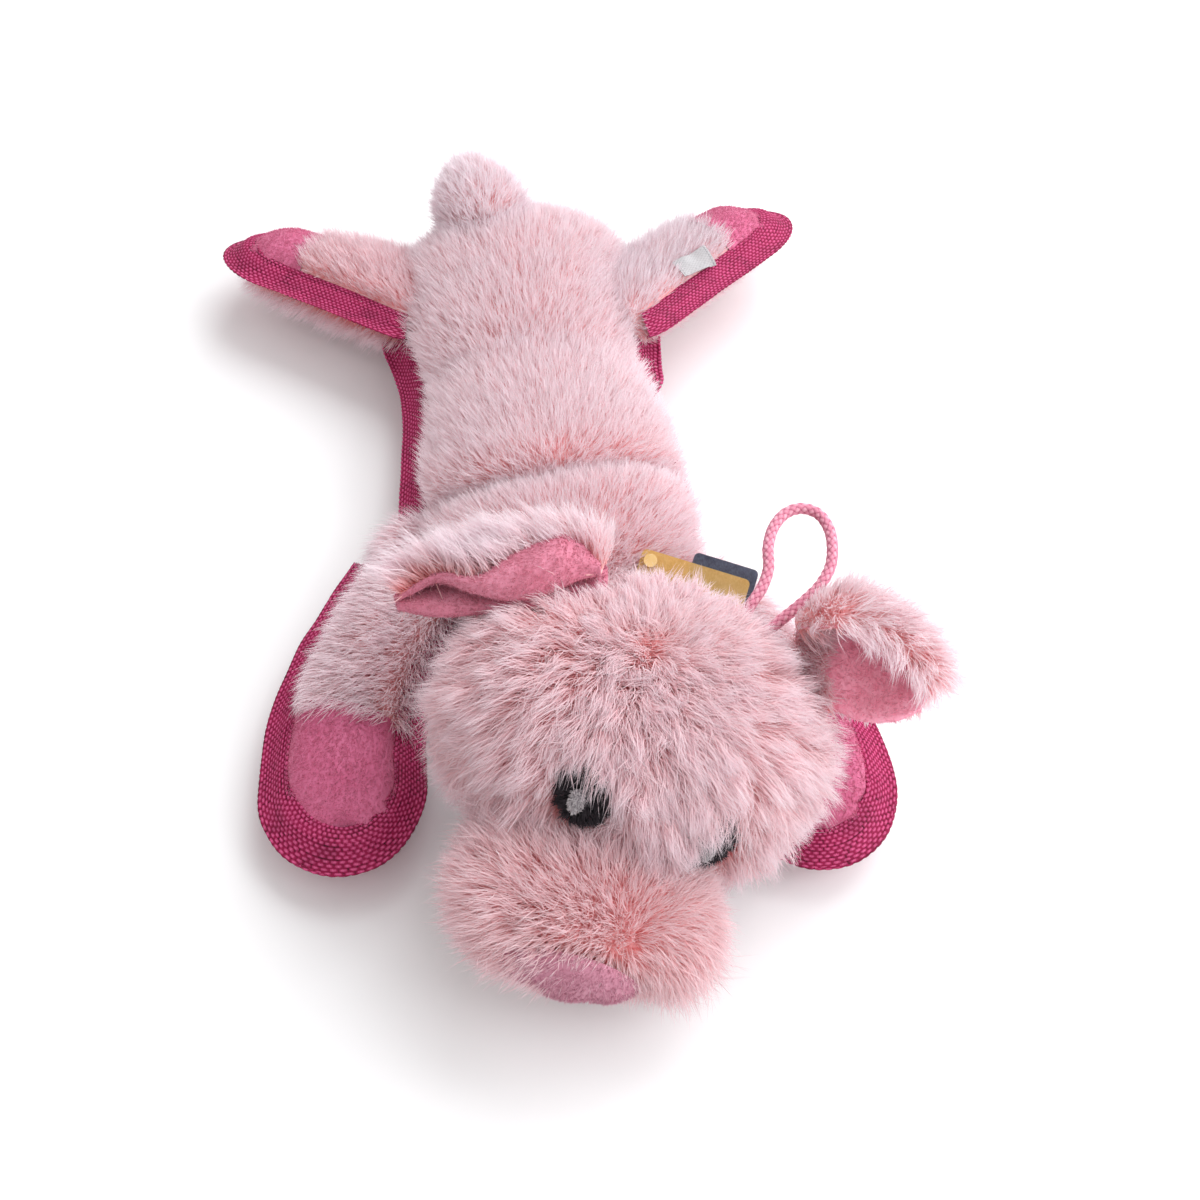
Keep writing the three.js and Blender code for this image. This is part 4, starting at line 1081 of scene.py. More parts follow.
def care_label():
    """A satin tape lying on the right hind leg's fur, with turned hems and a slight wave."""
    form = LEG_FORMS["hind_right"]
    skin = skin_of(form)
    rows, cols = LABEL["threads"]
    us, vs = np.linspace(*LABEL["along"], rows), np.linspace(*LABEL["across"], cols)
    points, crown = [], []
    for i, u in enumerate(us):
        for j, v in enumerate(vs):
            hit, facing, _, _ = skin.ray_cast(Vector((u, v, 80)), Vector((0, 0, -1)))
            if hit is None:
                hit, facing, _, _ = skin.find_nearest(Vector((u, v, 5)))
            wave = LABEL["above"] + 0.7 * math.sin(u * 0.55) * math.sin(v * 0.4 + 1)
            wave = wave + 0.6 * (abs(i / (rows - 1) - 0.5) * 2) ** 4
            points.append(np.array(hit + facing * wave))
            # The hems read lower, so the finish paints them darker: painted shade in the turned hems
            crown.append(0.55 + 0.25 * math.sin(v * 9.0) * math.sin(u * 3.0) - (0.3 if i in LABEL["hems"] else 0))
    places = form.world(np.array(points))
    made = piece("satin_care_label", places, sheet_faces(rows, cols), "satin_label", "hind_right_leg", "label",
                 ("care_label",))
    mark_crown(made, np.array(crown))
    thickened(made, 0.0003, offset=1)
    return places[::7], cover_of(places.reshape(rows, cols, 3)[::4, ::4])


# Each leg's pile and the turns of its tape, and for one leg the way its pile is brushed aside
FRONT_PILE = dict(finish="long_pile", length=12.0, lean=(30, 70), gather=0.25, stray=0.16)
HIND_PILE = dict(length=9.0, lean=(12, 46), gather=0.4, stray=0.25)
UNDER_PILE = dict(length=6.0, lean=(30, 70))
LEG_COATS = dict(
    front_left=dict(upper=dict(FRONT_PILE, shyness=9.0), under=UNDER_PILE, aside=(-0.7, 0.35, 0.1), unruly=0.1,
                    lips=dict(toe_lip=0.68)),
    front_right=dict(upper=FRONT_PILE, under=UNDER_PILE, lips=dict(lip=0.4, toe_lip=0.5)),
    # The left hind leg wears the darker crown pile as painted shade
    hind_left=dict(upper=dict(HIND_PILE, finish="crown_pile"), under=dict(length=11.0, lean=(5, 35)),
                   lips=dict(toe_lip=0.68)),
    # The right hind leg wears the paler pile as painted light
    hind_right=dict(upper=dict(HIND_PILE, finish="pale_pile"), under=UNDER_PILE, lips=dict(toe_lip=0.68)),
)


def make_leg(name, seed):
    """One leg in its cloths, with its tape, its fur and the nap of its paw."""
    form, leg, coat = LEG_FORMS[name], LEGS[name], LEG_COATS[name]
    body, hind = f"{name}_leg", name.startswith("hind")
    at, facing = pad_plane(form, leg["pad"], leg.get("slant", 0))
    behind = tuple(-v for v in facing)
    floor_up = form.place[:3, :3].T @ np.array((0, 0, 1.0))
    floor_at = form.own(np.array(((0, 0, 0.3),)))[0]
    hollow = [(SKULL_FORM, -1)] if name == "front_right" else ()
    upper = cloth(
        f"{name}_upper_cloth", form, "plush_ground", body, PLUSH_LEG, cuts=[ABOVE, (at, behind)], hollow=hollow,
        along=64, around=56, slot="fur", fill=0.6, replaces=(f"{name}_leg_upper", f"{name}_leg_stuffing"))
    under = cloth(
        f"{name}_under_cloth", form, "plush_ground", body, PLUSH_LEG,
        cuts=[BELOW, (tuple(floor_at), tuple(floor_up))], hollow=hollow,
        along=56, around=48, slot="fur", fill=0.5, replaces=(f"{name}_leg_under",))
    x, y, _ = form.spine(np.array(form.length - leg["form"]["ends"][1] * 0.2))
    toe = form.world(np.array(((float(x), float(y), 6.0),)))[0]
    pleats_from = (float(x) - 14 * facing[0], float(y) - 14 * facing[1], 0)
    pucker = 0.5 if hind else 2.0

    def pad_shape(points, s, a):
        """The paw's velour, pleated round its rim and drawn in at the toe."""
        out = form.own(points) - pleats_from
        pleat = np.sin(np.arctan2(out[:, 1], out[:, 0]) * 9)
        rim = 1 - ease(np.sin(a) * form.drawn(s), 0.35, 0.8)
        near_toe = ease(s, form.length - 34, form.length - 6)
        dimple = pucker * np.exp(-(np.linalg.norm(points - toe, axis=1) / 4.5) ** 2)
        return VELOUR_LEG(points, s, a) + 0.6 * pleat * rim * near_toe - dimple

    pad = cloth(
        f"{name}_paw_velour", form, "paw_velour", body, pad_shape, cuts=[ABOVE, (at, facing)],
        along=110, around=96, slot="velour", fill=0.7, replaces=(f"{name}_paw_pad",))
    buried = clear_of(TORSO_FORM, margin=-7) if hind else clear_of(TORSO_FORM, SKULL_FORM, margin=-5)
    comb = leg_comb(form, coat.get("aside", (0, 0, 0)), coat.get("unruly", 0.3))
    sewn = tape(f"{name}_tape", f"{name}_webbing", form, leg_route(name), body, seed + 3, **coat["lips"])
    if name == "front_left":
        # The inner arm of this tape stays under the pile beside the head
        sewn = sewn[len(sewn) * 2 // 5:]
    bound, covers = sewn.reshape(-1, 3), [cover_of(sewn)]
    if name == "hind_right":
        label_places, label_cover = care_label()
        bound = np.vstack((bound, label_places))
        covers.append(label_cover)
    off_sheets = crosses_none(*covers)
    fur(f"{name}_upper_fur", upper, body=body, per_mm2=3.0, comb=comb, seed=seed, keep=buried, beside=bound,
        room=0.5, clear=off_sheets, **coat["upper"])
    fur(f"{name}_under_fur", under, "long_pile", body, 1.6, comb=comb, seed=seed + 1, rings=3, clear=off_sheets,
        keep=lambda r: buried(r) & (r[:, 2] > 1.2), **coat["under"])
    fur(f"{name}_paw_nap", pad, "velour_pile", body, 3.2, 1.2, comb, lean=(30, 65), width=0.26, gather=0.2,
        seed=seed + 2, slot="velour", sink=0.1, rings=3, stray=0.7)


for order, leg_name in enumerate(LEGS):
    make_leg(leg_name, 40 + 5 * order)
flank_bounds, flank_covers = [], []
before, after = FLANK_RUN_ON
for side, (near_y, far_y) in FLANKS.items():
    reach = np.linspace(near_y - before, far_y + after, 190) - TORSO["start"][1]
    sides = np.full(len(reach), -1.0 if side == "right" else 1.0)
    sewn = tape(f"flank_tape_{side}", f"flank_webbing_{side}", TORSO_FORM, outline(TORSO_FORM, reach, sides),
                "torso", 70, lip=0.5, toe_lip=0.5, middle=(0, 60),
                slim=(FLANK_SHOWN[side] - near_y + before) / (far_y - near_y + before + after))
    flank_covers.append(cover_of(sewn))
    sewn = sewn.reshape(-1, 3)
    flank_bounds.append(sewn[sewn[:, 1] > FLANK_SHOWN[side]])

TORSO_CLEAR = clear_of(*LEG_FORMS.values(), SKULL_FORM, margin=-2)
OFF_FLANKS = dict(beside=np.vstack(flank_bounds), clear=crosses_none(*flank_covers))
for part, (low, high) in enumerate(((-60, 40), (40, 110), (110, 200))):
    fur(f"back_fur_{part + 1}", back_cloth, "long_pile", "torso", 2.8,
        lambda r: 9.5 - 2.5 * ease(fold_depth(r), 1, 6), back_comb, lean=(6, 44), seed=11 + part, gather=0.35,
        keep=lambda r, low=low, high=high: (r[:, 1] >= low) & (r[:, 1] < high) & TORSO_CLEAR(r), **OFF_FLANKS)
fur("belly_fur", belly_cloth, "long_pile", "torso", 0.9, 6.0, back_comb, lean=(30, 65), seed=15, droop=0.2,
    rings=3, keep=lambda r: TORSO_CLEAR(r) & (r[:, 2] > 1.5), **OFF_FLANKS)

# ---------------------------------------------------------------- neck, ears and head


def ball_form(at, radius):
    """A round form of one radius all over."""
    return Form(turned(at=at), start=(-radius, 0), length=2 * radius, ends=(radius, radius),
                half=((0, radius), (1, radius)), top=((0, radius), (1, radius)), bottom=((0, radius), (1, radius)))


NECK_FORM = ball_form(NECK["at"], NECK["radius"])
neck_cloth = cloth("neck_cloth", NECK_FORM, "plush_ground", "neck", lambda p, s, a: -1.0 + 0.6 * lumps(p, 9, 8),
                   along=28, around=32, slot="fur", fill=0.6, replaces=("neck_sleeve", "neck_stuffing"))


def smoothed(rows, count):
    """A smooth run of count rows through a few given ones."""
    rows = np.vstack((2 * rows[:1] - rows[1:2], rows, 2 * rows[-1:] - rows[-2:-1]))
    at = np.linspace(0, len(rows) - 3 - 1e-9, count)
    i = np.floor(at).astype(int)
    t = (at - i).reshape((-1,) + (1,) * (rows.ndim - 1))
    a, b, c, d = rows[i], rows[i + 1], rows[i + 2], rows[i + 3]
    return 0.5 * (2 * b + (c - a) * t + (2 * a - 5 * b + 4 * c - d) * t ** 2 + (3 * b - a - 3 * c + d) * t ** 3)


def make_ear(side, seed):
    """A furred outer leaf and its velour lining, folded as one sheet with a rolled lip."""
    body, coat = f"ear_{side}", EAR_COATS[side]
    sheet = smoothed(np.array(EAR_SHEETS[side], float), EAR_ROWS)
    sheet = smoothed(sheet.transpose(1, 0, 2), EAR_COLS).transpose(1, 0, 2)
    flow, across = np.gradient(sheet, axis=0), np.gradient(sheet, axis=1)
    face = unit(np.cross(flow, across))
    shown = EAR_MIDDLE, 14
    if (face[shown] @ TO_CAMERA) < 0:
        face = -face
    ripple = 0.8 * lumps(sheet, 16, seed)[..., None] * face + 0.35 * lumps(sheet, 6, seed + 1)[..., None] * face
    sheet = sheet + ripple
    turn = np.cross(flow, across)[shown] @ face[shown] > 0
    back = [q[::-1] if turn else q for q in sheet_faces(EAR_ROWS, EAR_COLS)]
    inner = [q for q in back if 3 <= min(q) % EAR_COLS and max(q) % EAR_COLS <= EAR_COLS - 4
             and max(q) // EAR_COLS <= EAR_ROWS - 3]
    outer = piece(f"ear_cloth_{side}", (sheet - face * 1.0).reshape(-1, 3), inner, "plush_ground", body, "fur",
                  (f"ear_fur_{side}",), fill=0.3)
    thickened(outer, 0.0009)
    cols = EAR_LINED[side]
    rim = np.minimum(np.arange(cols), np.arange(cols)[::-1])[None, :]
    lined = (sheet + face * 0.5)[:, :cols] - face[:, :cols] * (1.5 * np.exp(-rim / 1.6))[..., None]
    front = sheet_faces(EAR_ROWS, cols)
    # Each ear's lining takes its own tone: lighter on the right, painted light, and darker on the left, painted shade
    lining = piece(f"ear_velour_{side}", lined.reshape(-1, 3), front if turn else [q[::-1] for q in front],
                   f"ear_lining_{side}", body, "lining", (f"ear_lining_{side}",), fill=0.2)
    thickened(lining, 0.0007)
    lie = flow[EAR_MIDDLE, EAR_COLS // 2]
    fur(f"ear_lining_nap_{side}", lining, f"lining_pile_{side}", body, 3.0, 1.1,
        lambda r, n: np.tile(lie, (len(r), 1)), lean=(15, 60), width=0.3, gather=0.2, seed=seed + 5,
        slot="lining", sink=0.1, rings=3)
    tree = place_tree(sheet.reshape(-1, 3))

    def place(roots):
        """The row and the column of the sheet that a root is nearest to."""
        return np.divmod(nearest_index(tree, roots), EAR_COLS)

    def comb(roots, normals):
        v, u = place(roots)
        rim = (ease(u, 84, EAR_COLS - 1) * (1 - ease(v, *coat["calm"])) - ease(-u, -22, 0))[:, None]
        way = unit(flow[v, u]) * (1 - 0.5 * np.abs(rim)) + 0.9 * rim * unit(across[v, u])
        return way + 0.35 * drift(roots, 11, 51)

    def length(roots):
        v, u = place(roots)
        least = coat["root_share"]
        by_root = least + (1 - least) * ease(v, *coat["root_ends"])
        return (4.0 + coat["tall"] * ease(u, 30, 75) + 2.0 * ease(v, 60, 95)) * by_root

    def outside(line):
        """Keeps the strands that stay off the lining's side of the sheet."""
        kept = np.ones(len(line), bool)
        for at in (line[:, 1], line[:, 2], (line[:, 2] + line[:, 3]) / 2, line[:, 3]):
            v, u = place(at)
            lift = ((at - sheet[v, u]) * face[v, u]).sum(1)
            kept &= (lift < 0.8) | (u < 3) | (u > EAR_COLS - 4) | (v > EAR_ROWS - 3)
        return kept

    fur(f"ear_coat_{side}", outer, "long_pile", body, 3.6, length, comb, lean=coat["lean"], seed=seed + 2,
        gather=0.6, clump=20, keep=lambda r: SKULL_FORM.fullness(r, -5) > 1, clear=outside)
    if side == "right":
        fur("ear_root_tuft", lining, "crown_pile", body, 3.0, lambda r: 13.0 - 5.0 * ease(place(r)[0], 4, 34),
            lambda r, n: flow[place(r)] + 0.15 * np.array((0, 0, -1.0)), lean=(26, 68), gather=0.6, seed=seed + 3,
            keep=lambda r: place(r)[0] < 28 - 12 * ease(place(r)[1], 60, 118))
    return sheet[::3, ::4].reshape(-1, 3)


# What the head's fur keeps off: the left ear, and the right ear from its middle to its tip
EAR_PLACES = np.vstack((make_ear("left", 101), make_ear("right", 111)[540:]))


def head_shape(points, s, a):
    """The head's cloth: well inside its solid, with soft lumps."""
    return -4.5 + 1.2 * lumps(points, 30, 12) + 0.6 * lumps(points, 12, 13)


HEAD_NODES = dict(crown=("crown_gusset", "head_stuffing"), left=("head_panel_left",), right=("head_panel_right",))


def whorl_comb(centre, fall):
    """Pile combed out of a whorl, falling over the sides."""
    def comb(roots, normals):
        way = roots - centre
        spread = np.linalg.norm(way, axis=1, keepdims=True)
        way = unit(way) + fall * np.array((0, 0, -1.0)) * ease(spread, 10, 50)
        swirl = np.cross(normals, way) * 0.35 * np.exp(-spread / 18)
        return way + swirl + 0.4 * drift(roots, 19, 31)
    return comb


head_comb = whorl_comb(HEAD_WHORL, 0.5)
HEAD_CLEAR = clear_of(MUZZLE_FORM, margin=-8)
LEFT_EYE, RIGHT_EYE = (
    np.mean(np.array(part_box(f"eye_patch_{side}"), float), axis=0) / MM for side in ("left", "right"))


def eye_room(roots, grow=0.0):
    """True where a root lies on an eye patch."""
    own = SKULL_FORM.own(roots)
    on_eye = np.zeros(len(roots), bool)
    for centre in EYES.values():
        apart = np.hypot((own[:, 0] - centre[0]) / (EYE_HALF[0] + grow),
                         (own[:, 2] - centre[1]) / (EYE_HALF[1] + grow))
        on_eye |= (apart < 1) & (own[:, 1] < 0)
    return on_eye


def head_length(roots):
    """Shortest at the whorl and by the eyes, and longer beside the card."""
    apart = np.linalg.norm(roots - HEAD_WHORL, axis=1)
    by_eye = 0.65 + 0.35 * ease(np.linalg.norm(roots - LEFT_EYE, axis=1), 9, 17)
    by_eye = by_eye * (0.85 + 0.15 * ease(np.linalg.norm(roots - RIGHT_EYE, axis=1), 8, 18))
    by_card = 4 * np.exp(-(np.linalg.norm(roots - BY_CARD, axis=1) / 24) ** 2)
    return (11 + 6.5 * ease(apart, 6, 40)) * by_eye + by_card


def head_panel(side, cuts, seed):
    """One of the head's three panels with its fur."""
    panel = cloth(f"head_cloth_{side}", SKULL_FORM, "plush_ground", "head", head_shape, cuts=cuts,
                  hollow=[(MUZZLE_FORM, -9)], along=72, around=72, slot="fur", fill=0.65, replaces=HEAD_NODES[side])
    fur(f"head_fur_{side}", panel, "crown_pile", "head", 2.6, head_length, head_comb, lean=(18, 70), width=0.36,
        gather=0.72, clump=34, droop=0.2, seed=seed, floor=1.0, beside=EAR_PLACES, room=6.0,
        clear=misses(EAR_PLACES, 3.6),
        keep=lambda r: HEAD_CLEAR(r) & ~eye_room(r, 0.4) & (NECK_FORM.fullness(r) > 1))


head_panel("crown", [((-CROWN_HALF_WIDTH, 0, 0), (1, 0, 0)), ((CROWN_HALF_WIDTH, 0, 0), (-1, 0, 0)), ABOVE], 81)
head_panel("left", [((0, 0, 0), (-1, 0, 0))], 82)
head_panel("right", [((0, 0, 0), (1, 0, 0))], 83)


def muzzle_shape(points, s, a):
    """The muzzle's cloth: inside its solid, with small lumps."""
    return -4.0 + 0.9 * lumps(points, 20, 14) + 0.4 * lumps(points, 8, 15)


def nose_room(roots):
    """How far roots are from the middle of the nose pad, 1 at its edge."""
    own = MUZZLE_FORM.own(roots)
    apart = np.hypot((own[:, 0] - NOSE["centre"][0]) / (NOSE["half"][0] + 1),
                     (own[:, 2] + MUZZLE_DROP - NOSE["centre"][1]) / (NOSE["half"][1] + 0.5))
    return np.where(own[:, 1] < MUZZLE["start"][1] - MUZZLE["length"] / 2, apart, 9.0)


def by_corner(roots):
    """1 at the muzzle's lower right corner, and next to nothing 25 mm away."""
    return np.exp(-(np.linalg.norm(roots - MUZZLE_CORNER, axis=1) / 13) ** 2)


muzzle_cloth = cloth("muzzle_cloth", MUZZLE_FORM, "plush_ground", "head", muzzle_shape, hollow=[(SKULL_FORM, -8)],
                     along=72, around=72, slot="fur", fill=0.65, replaces=("muzzle_fur", "muzzle_stuffing"))
whorl = whorl_comb(MUZZLE_WHORL, 0.35)


def muzzle_comb(roots, normals):
    """Out of the whorl, and gathered to a point at the lower right corner."""
    return whorl(roots, normals) + 4.0 * by_corner(roots)[:, None] * np.array((0.15, -0.6, -0.75))


def muzzle_length(roots):
    """Short by the nose and long to the left and at the corner."""
    apart = np.linalg.norm(roots - MUZZLE_WHORL, axis=1)
    by_nose = ease(nose_room(roots), 1.0, 1.7)
    on_left = 4.0 * ease(-roots[:, 0], 24, 44) * by_nose
    return (7.5 + 3.5 * ease(apart, 4, 30)) * (0.42 + 0.58 * by_nose) + on_left + 11 * by_corner(roots)


def patch(name, skin, centre, half, finish, lift, crown, node, slot, rings=14, around=48, dents=()):
    """An oval patch sewn on the head's face, seen along the head's Y axis, with a padded
    crown and a turned-in rim. dents are places from its centre, their size and depth."""
    points = []
    for ring in range(rings + 1):
        r = ring / rings
        for j in range(around):
            a = 2 * math.pi * j / around
            x, z = centre[0] + half[0] * r * math.cos(a), centre[1] + half[1] * r * math.sin(a)
            hit, facing, _, _ = skin.ray_cast(Vector((x, -300, z)), Vector((0, 1, 0)))
            if hit is None:
                hit, facing, _, _ = skin.find_nearest(Vector((x, -60, z)))
            high = lift + crown * (1 - r ** 4) if ring < rings else lift - 0.8
            for dx, dz, size, deep in dents:
                high -= deep * math.exp(-(((x - centre[0] - dx) / size) ** 2 + ((z - centre[1] - dz) / size) ** 2))
            points.append(np.array(hit + facing * high))
    points = np.array(points) @ HEAD_PLACE[:3, :3].T + HEAD_PLACE[:3, 3]
    faces = np.roll(ring_quads(rings + 1, around)[2], 1, axis=1)
    return piece(name, points, faces, finish, "head", slot, (node,))


SKULL_SKIN = skin_of(SKULL_FORM, 80, 80)
MUZZLE_SKIN = skin_of(MUZZLE_FORM, 80, 80, drop=MUZZLE_DROP)

nose = patch("nose_velour", MUZZLE_SKIN, NOSE["centre"], NOSE["half"], "nose_cloth", 0.6, 3.6, "nose_pad",
             "velour", rings=24, around=72, dents=((-9, -2, 3.4, 2.2), (9, -2, 3.4, 2.2)))
fur("nose_nap", nose, "nose_pile", "head", 3.0, 1.4, whorl_comb(MUZZLE_WHORL, 0.8), lean=(20, 55), width=0.26,
    gather=0.3, seed=95, slot="velour", sink=0.1, rings=3)
fur("muzzle_coat", muzzle_cloth, "muzzle_pile", "head", 3.3, muzzle_length, muzzle_comb,
    lean=lambda r: np.c_[np.full(len(r), 14.0), 56 + 24 * by_corner(r)], width=0.36, gather=0.42, clump=22, droop=0.2,
    seed=91, floor=1.0, keep=lambda r: (SKULL_FORM.fullness(r, -7) > 1) & (nose_room(r) > 1))
for side, centre in EYES.items():
    centre = (centre[0] - 1.0, centre[1] + 2.2)
    half = (EYE_HALF[0] - 0.9, EYE_HALF[1] - 1.2)
    eye = patch(f"eye_cloth_{side}", SKULL_SKIN, centre, half, "eye_cloth", 0.4, 1.6, f"eye_patch_{side}", "eye")
    glint = patch(f"glint_cloth_{side}", SKULL_SKIN, (centre[0] - 1.5, centre[1] - 1), GLINT_HALF, "glint_cloth",
                  4.4, 0.7, f"eye_glint_{side}", "glint", rings=8, around=28)
    eye_places, glint_places = (np.array([v.co for v in made.data.vertices]) / MM for made in (eye, glint))
    fur(f"eye_pile_{side}", eye, "eye_pile", "head", 9.0, 4.0,
        lambda r, n, m=eye_places.mean(0): unit(r - m) + 0.3 * unit(head_comb(r, n)), lean=(8, 72), width=0.36,
        gather=0.7, clump=12, vary=0.3, seed=96, slot="eye", sink=0.3, stray=0.5, clear=misses(glint_places, 0.7))
    fur(f"glint_stitches_{side}", glint, "glint_pile", "head", 9.0, 1.6,
        lambda r, n: np.tile((0.0, 0.3, -1.0), (len(r), 1)), lean=(35, 80), width=0.4, gather=0.2, seed=97,
        slot="glint", sink=0.1)

# ---------------------------------------------------------------- coats of the tail and the neck


tail_cloth = cloth("tail_cloth", TAIL_FORM, "plush_ground", "tail", lambda p, s, a: -1.0 + 0.7 * lumps(p, 10, 16),
                   hollow=[(TORSO_FORM, -9)], along=40, around=40, slot="fur", fill=0.6,
                   replaces=("tail_fur", "tail_stuffing"))
TAIL_OUT = TAIL_FORM.place[:3, 0]
# The tail wears the paler pile as painted light
fur("tail_coat", tail_cloth, "pale_pile", "tail", 3.4, 9.0, lambda r, n: TAIL_OUT + 0.5 * drift(r, 12, 55),
    lean=(14, 56), seed=121, keep=clear_of(TORSO_FORM, margin=-6))
fur("neck_coat", neck_cloth, "long_pile", "neck", 1.0, 7.0, back_comb, lean=(10, 45), seed=125, floor=1.0,
    keep=lambda r: (SKULL_FORM.fullness(r, -3) > 1) & (TORSO_FORM.fullness(r, -4) > 1))

# ---------------------------------------------------------------- hang loop


def rounded(points, step):
    """A centripetal curve through points, as closely spaced places."""
    p = np.array(points, float)
    p = np.vstack((2 * p[0] - p[1], p, 2 * p[-1] - p[-2]))
    made = []
    for a, b, c, d in zip(p[:-3], p[1:-2], p[2:-1], p[3:]):
        t0 = 0.0
        t1 = np.linalg.norm(b - a) ** 0.5
        t2 = t1 + np.linalg.norm(c - b) ** 0.5
        t3 = t2 + np.linalg.norm(d - c) ** 0.5
        t = np.linspace(t1, t2, 40)[:, None]
        a1 = (t1 - t) / (t1 - t0) * a + (t - t0) / (t1 - t0) * b
        a2 = (t2 - t) / (t2 - t1) * b + (t - t1) / (t2 - t1) * c
        a3 = (t3 - t) / (t3 - t2) * c + (t - t2) / (t3 - t2) * d
        b1 = (t2 - t) / (t2 - t0) * a1 + (t - t0) / (t2 - t0) * a2
        b2 = (t3 - t) / (t3 - t1) * a2 + (t - t1) / (t3 - t1) * a3
        made.append(((t2 - t) / (t2 - t1) * b1 + (t - t1) / (t2 - t1) * b2)[:-1])
    made.append(p[-2][None])
    return evenly(np.vstack(made), step)


def braid():
    """The hang loop: yarns plaited both ways round the route, over and under by turns."""
    route, marks = rounded(LOOP_POINTS, BRAID["step"])
    flow = unit(np.gradient(route, axis=0))
    side = np.zeros_like(flow)
    side[0] = unit(np.cross(flow[0], (0.3, 0.1, 1)))
    for i in range(1, len(flow)):
        side[i] = unit(side[i - 1] - flow[i] * (side[i - 1] @ flow[i]))
    lift = np.cross(flow, side)
    around = BRAID["around"]
    a = 2 * np.pi * np.arange(around) / around
    S, A = np.meshgrid(marks, a, indexing="ij")
    p = A / (2 * np.pi) * BRAID["yarns"] + S / BRAID["lay"]
    q = A / (2 * np.pi) * BRAID["yarns"] - S / BRAID["lay"]
    over = (np.floor(p) + np.floor(q)) % 2

    def ridge(v):
        return np.sqrt(np.maximum(0, 1 - (2 * (v % 1) - 1) ** 2))

    crown = np.where(over > 0, ridge(p) * (0.55 + 0.45 * ridge(q)), ridge(q) * (0.55 + 0.45 * ridge(p)))
    radius = LOOP_DIAMETER / 2 - BRAID["sunk"] + BRAID["relief"] * crown
    ring = side[:, None] * np.cos(A)[..., None] + lift[:, None] * np.sin(A)[..., None]
    points = route[:, None] + ring * radius[..., None]
    made = piece("braided_loop", points.reshape(-1, 3), ring_quads(len(route), around)[2], "braided_cord", "head",
                 "cord", ("hang_loop",))
    # Under yarns read lower, so the finish paints them darker: painted shade
    mark_crown(made, crown * np.where(over > 0, 1.0, LOWER_YARN))
    # Every twelfth place of the route, and its very end
    path = route[::12] * MM
    if (len(route) - 1) % 12:
        path = np.vstack((path, route[-1:] * MM))
    tuple(path[0])


braid()

# ---------------------------------------------------------------- tags


def rounded_card(name, low, high, bottom, top, finish, node, corner=2.0, hole=None):
    """A flat card with rounded corners and maybe a hole, in the tag's own frame."""
    x = unit(CARD["along"])
    y = -np.array(CARD["down"])
    y = unit(y - x * (x @ y))
    z = np.cross(x, y)
    bm = bmesh.new()
    nx, ny = CARD["cells"]
    xs, ys = np.linspace(low[0], high[0], nx + 1), np.linspace(low[1], high[1], ny + 1)
    verts = [[bm.verts.new((u, v, 0)) for v in ys] for u in xs]
    for i in range(nx):
        for j in range(ny):
            bm.faces.new((verts[i][j], verts[i + 1][j], verts[i + 1][j + 1], verts[i][j + 1]))
    for v in bm.verts:
        for sx in (-1, 1):
            for sy in (-1, 1):
                cx = (high[0] if sx > 0 else low[0]) - sx * corner
                cy = (high[1] if sy > 0 else low[1]) - sy * corner
                dx, dy = (v.co.x - cx) * sx, (v.co.y - cy) * sy
                if dx > 0 and dy > 0:
                    reach, want = math.hypot(dx, dy), max(dx, dy)
                    v.co.x, v.co.y = cx + sx * dx * want / reach, cy + sy * dy * want / reach
    if hole:
        gone = [f for f in bm.faces if (f.calc_center_median().xy - Vector(hole[:2])).length < hole[2]]
        bmesh.ops.delete(bm, geom=gone, context="FACES")
    solid = bmesh.ops.extrude_face_region(bm, geom=bm.faces[:])
    for v in [g for g in solid["geom"] if isinstance(g, bmesh.types.BMVert)]:
        v.co.z = top
    # A stored height is single precision and equals neither card's top, so both faces end at
    # bottom: the cards are drawn without thickness, and only the solids have it
    for v in bm.verts:
        if v.co.z != top:
            v.co.z = bottom
    bmesh.ops.recalc_face_normals(bm, faces=bm.faces[:])
    points = np.array([v.co for v in bm.verts])
    bm.verts.index_update()
    faces = [[v.index for v in f.verts] for f in bm.faces]
    bm.free()
    places = np.array(CARD["corner"]) + points[:, :1] * x + points[:, 1:2] * y + points[:, 2:] * z
    return piece(name, places, faces, finish, "tag", node.split("_")[1], (node,), smooth=False)


inset = CARD["inset"]
rounded_card("blank_card", (0, -CARD["depth"]), (CARD["width"], 0), 0, CARD["thickness"], "tag_card", "tag_card",
             hole=(inset, -inset, 1.2))
right = CARD["width"] + CARD["leaf_shift"][0]
rounded_card("blank_leaf", (right - CARD["leaf"][0], CARD["leaf_shift"][1] - CARD["leaf"][1]),
             (right, CARD["leaf_shift"][1] + 3.0), -CARD["gap"] - CARD["thickness"], -CARD["gap"], "tag_leaf",
             "tag_leaf")

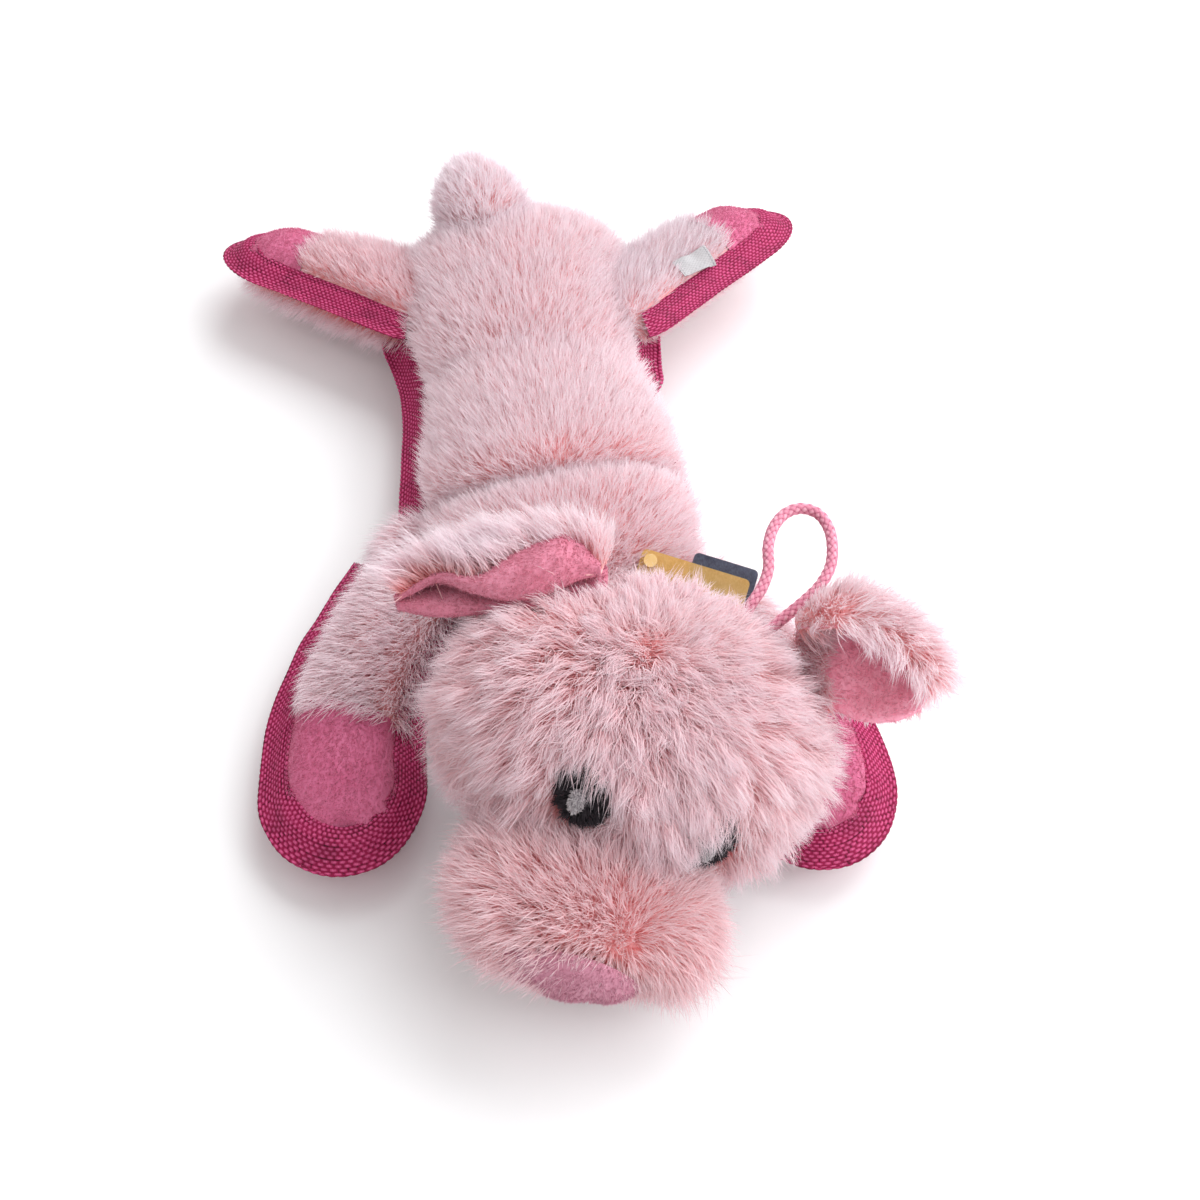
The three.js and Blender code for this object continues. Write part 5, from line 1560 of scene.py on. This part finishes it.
# Solids of the frame that stay as they are and only take a finish
FRAME_FINISHES = dict(
    torso_squeaker_bladder="moulded_squeaker", torso_squeaker_reed="moulded_squeaker",
    head_squeaker_bladder="moulded_squeaker", head_squeaker_reed="moulded_squeaker", tag_pin="pin_nylon",
)
for node, finish in FRAME_FINISHES.items():
    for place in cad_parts[node].material_slots:
        place.material = MADE[finish]

# ---------------------------------------------------------------- floor and light


# Each area light's place, its size and its power
LIGHTS = dict(
    key_light=((0.8, 0.9, 1.4), 1.6, 28), front_light=((0.1, -0.9, 1.1), 1.2, 3),
    side_light=((1.3, -0.5, 0.9), 1.2, 17),
)
SKY = dict(colour=(1, 0.972, 0.966, 1), strength=0.6)


def studio():
    """A pale floor, soft light from behind and above, and fill from the right and the front."""
    mesh = bpy.data.meshes.new("floor")
    mesh.from_pydata([(-3, -3, 0), (3, -3, 0), (3, 3, 0), (-3, 3, 0)], [], [(0, 1, 2, 3)])
    floor = bpy.data.objects.new("floor", mesh)
    bpy.context.collection.objects.link(floor)
    pale = bpy.data.materials.new("pale_floor")
    pale.use_nodes = True
    f = Finish(pale.node_tree)
    shader = next(n for n in pale.node_tree.nodes if n.type == "BSDF_PRINCIPLED")
    tone = f.mix(f.grain(f.place(), 6.0), srgb(250, 250, 250), srgb(246, 246, 247))
    f.join(tone, shader.inputs["Base Color"])
    f.join(f.span(f.grain(f.place(), 30.0), 0.3, 0.7, 0.8, 0.95), shader.inputs["Roughness"])
    mesh.materials.append(pale)
    world = bpy.data.worlds.new("studio")
    world.use_nodes = True
    sky = world.node_tree.nodes["Background"].inputs
    sky[0].default_value, sky[1].default_value = SKY["colour"], SKY["strength"]
    bpy.context.scene.world = world
    for name, (at, size, power) in LIGHTS.items():
        light = bpy.data.lights.new(name, "AREA")
        light.size, light.energy, light.color = size, power, (0.96, 0.985, 1)
        lamp = bpy.data.objects.new(name, light)
        lamp.location = at
        lamp.rotation_euler = (Vector((0, 0, 0.03)) - Vector(at)).to_track_quat("-Z", "Y").to_euler()
        bpy.context.collection.objects.link(lamp)
    view = bpy.context.scene.view_settings
    view.view_transform = "Standard"
    view.look = "None"


studio()
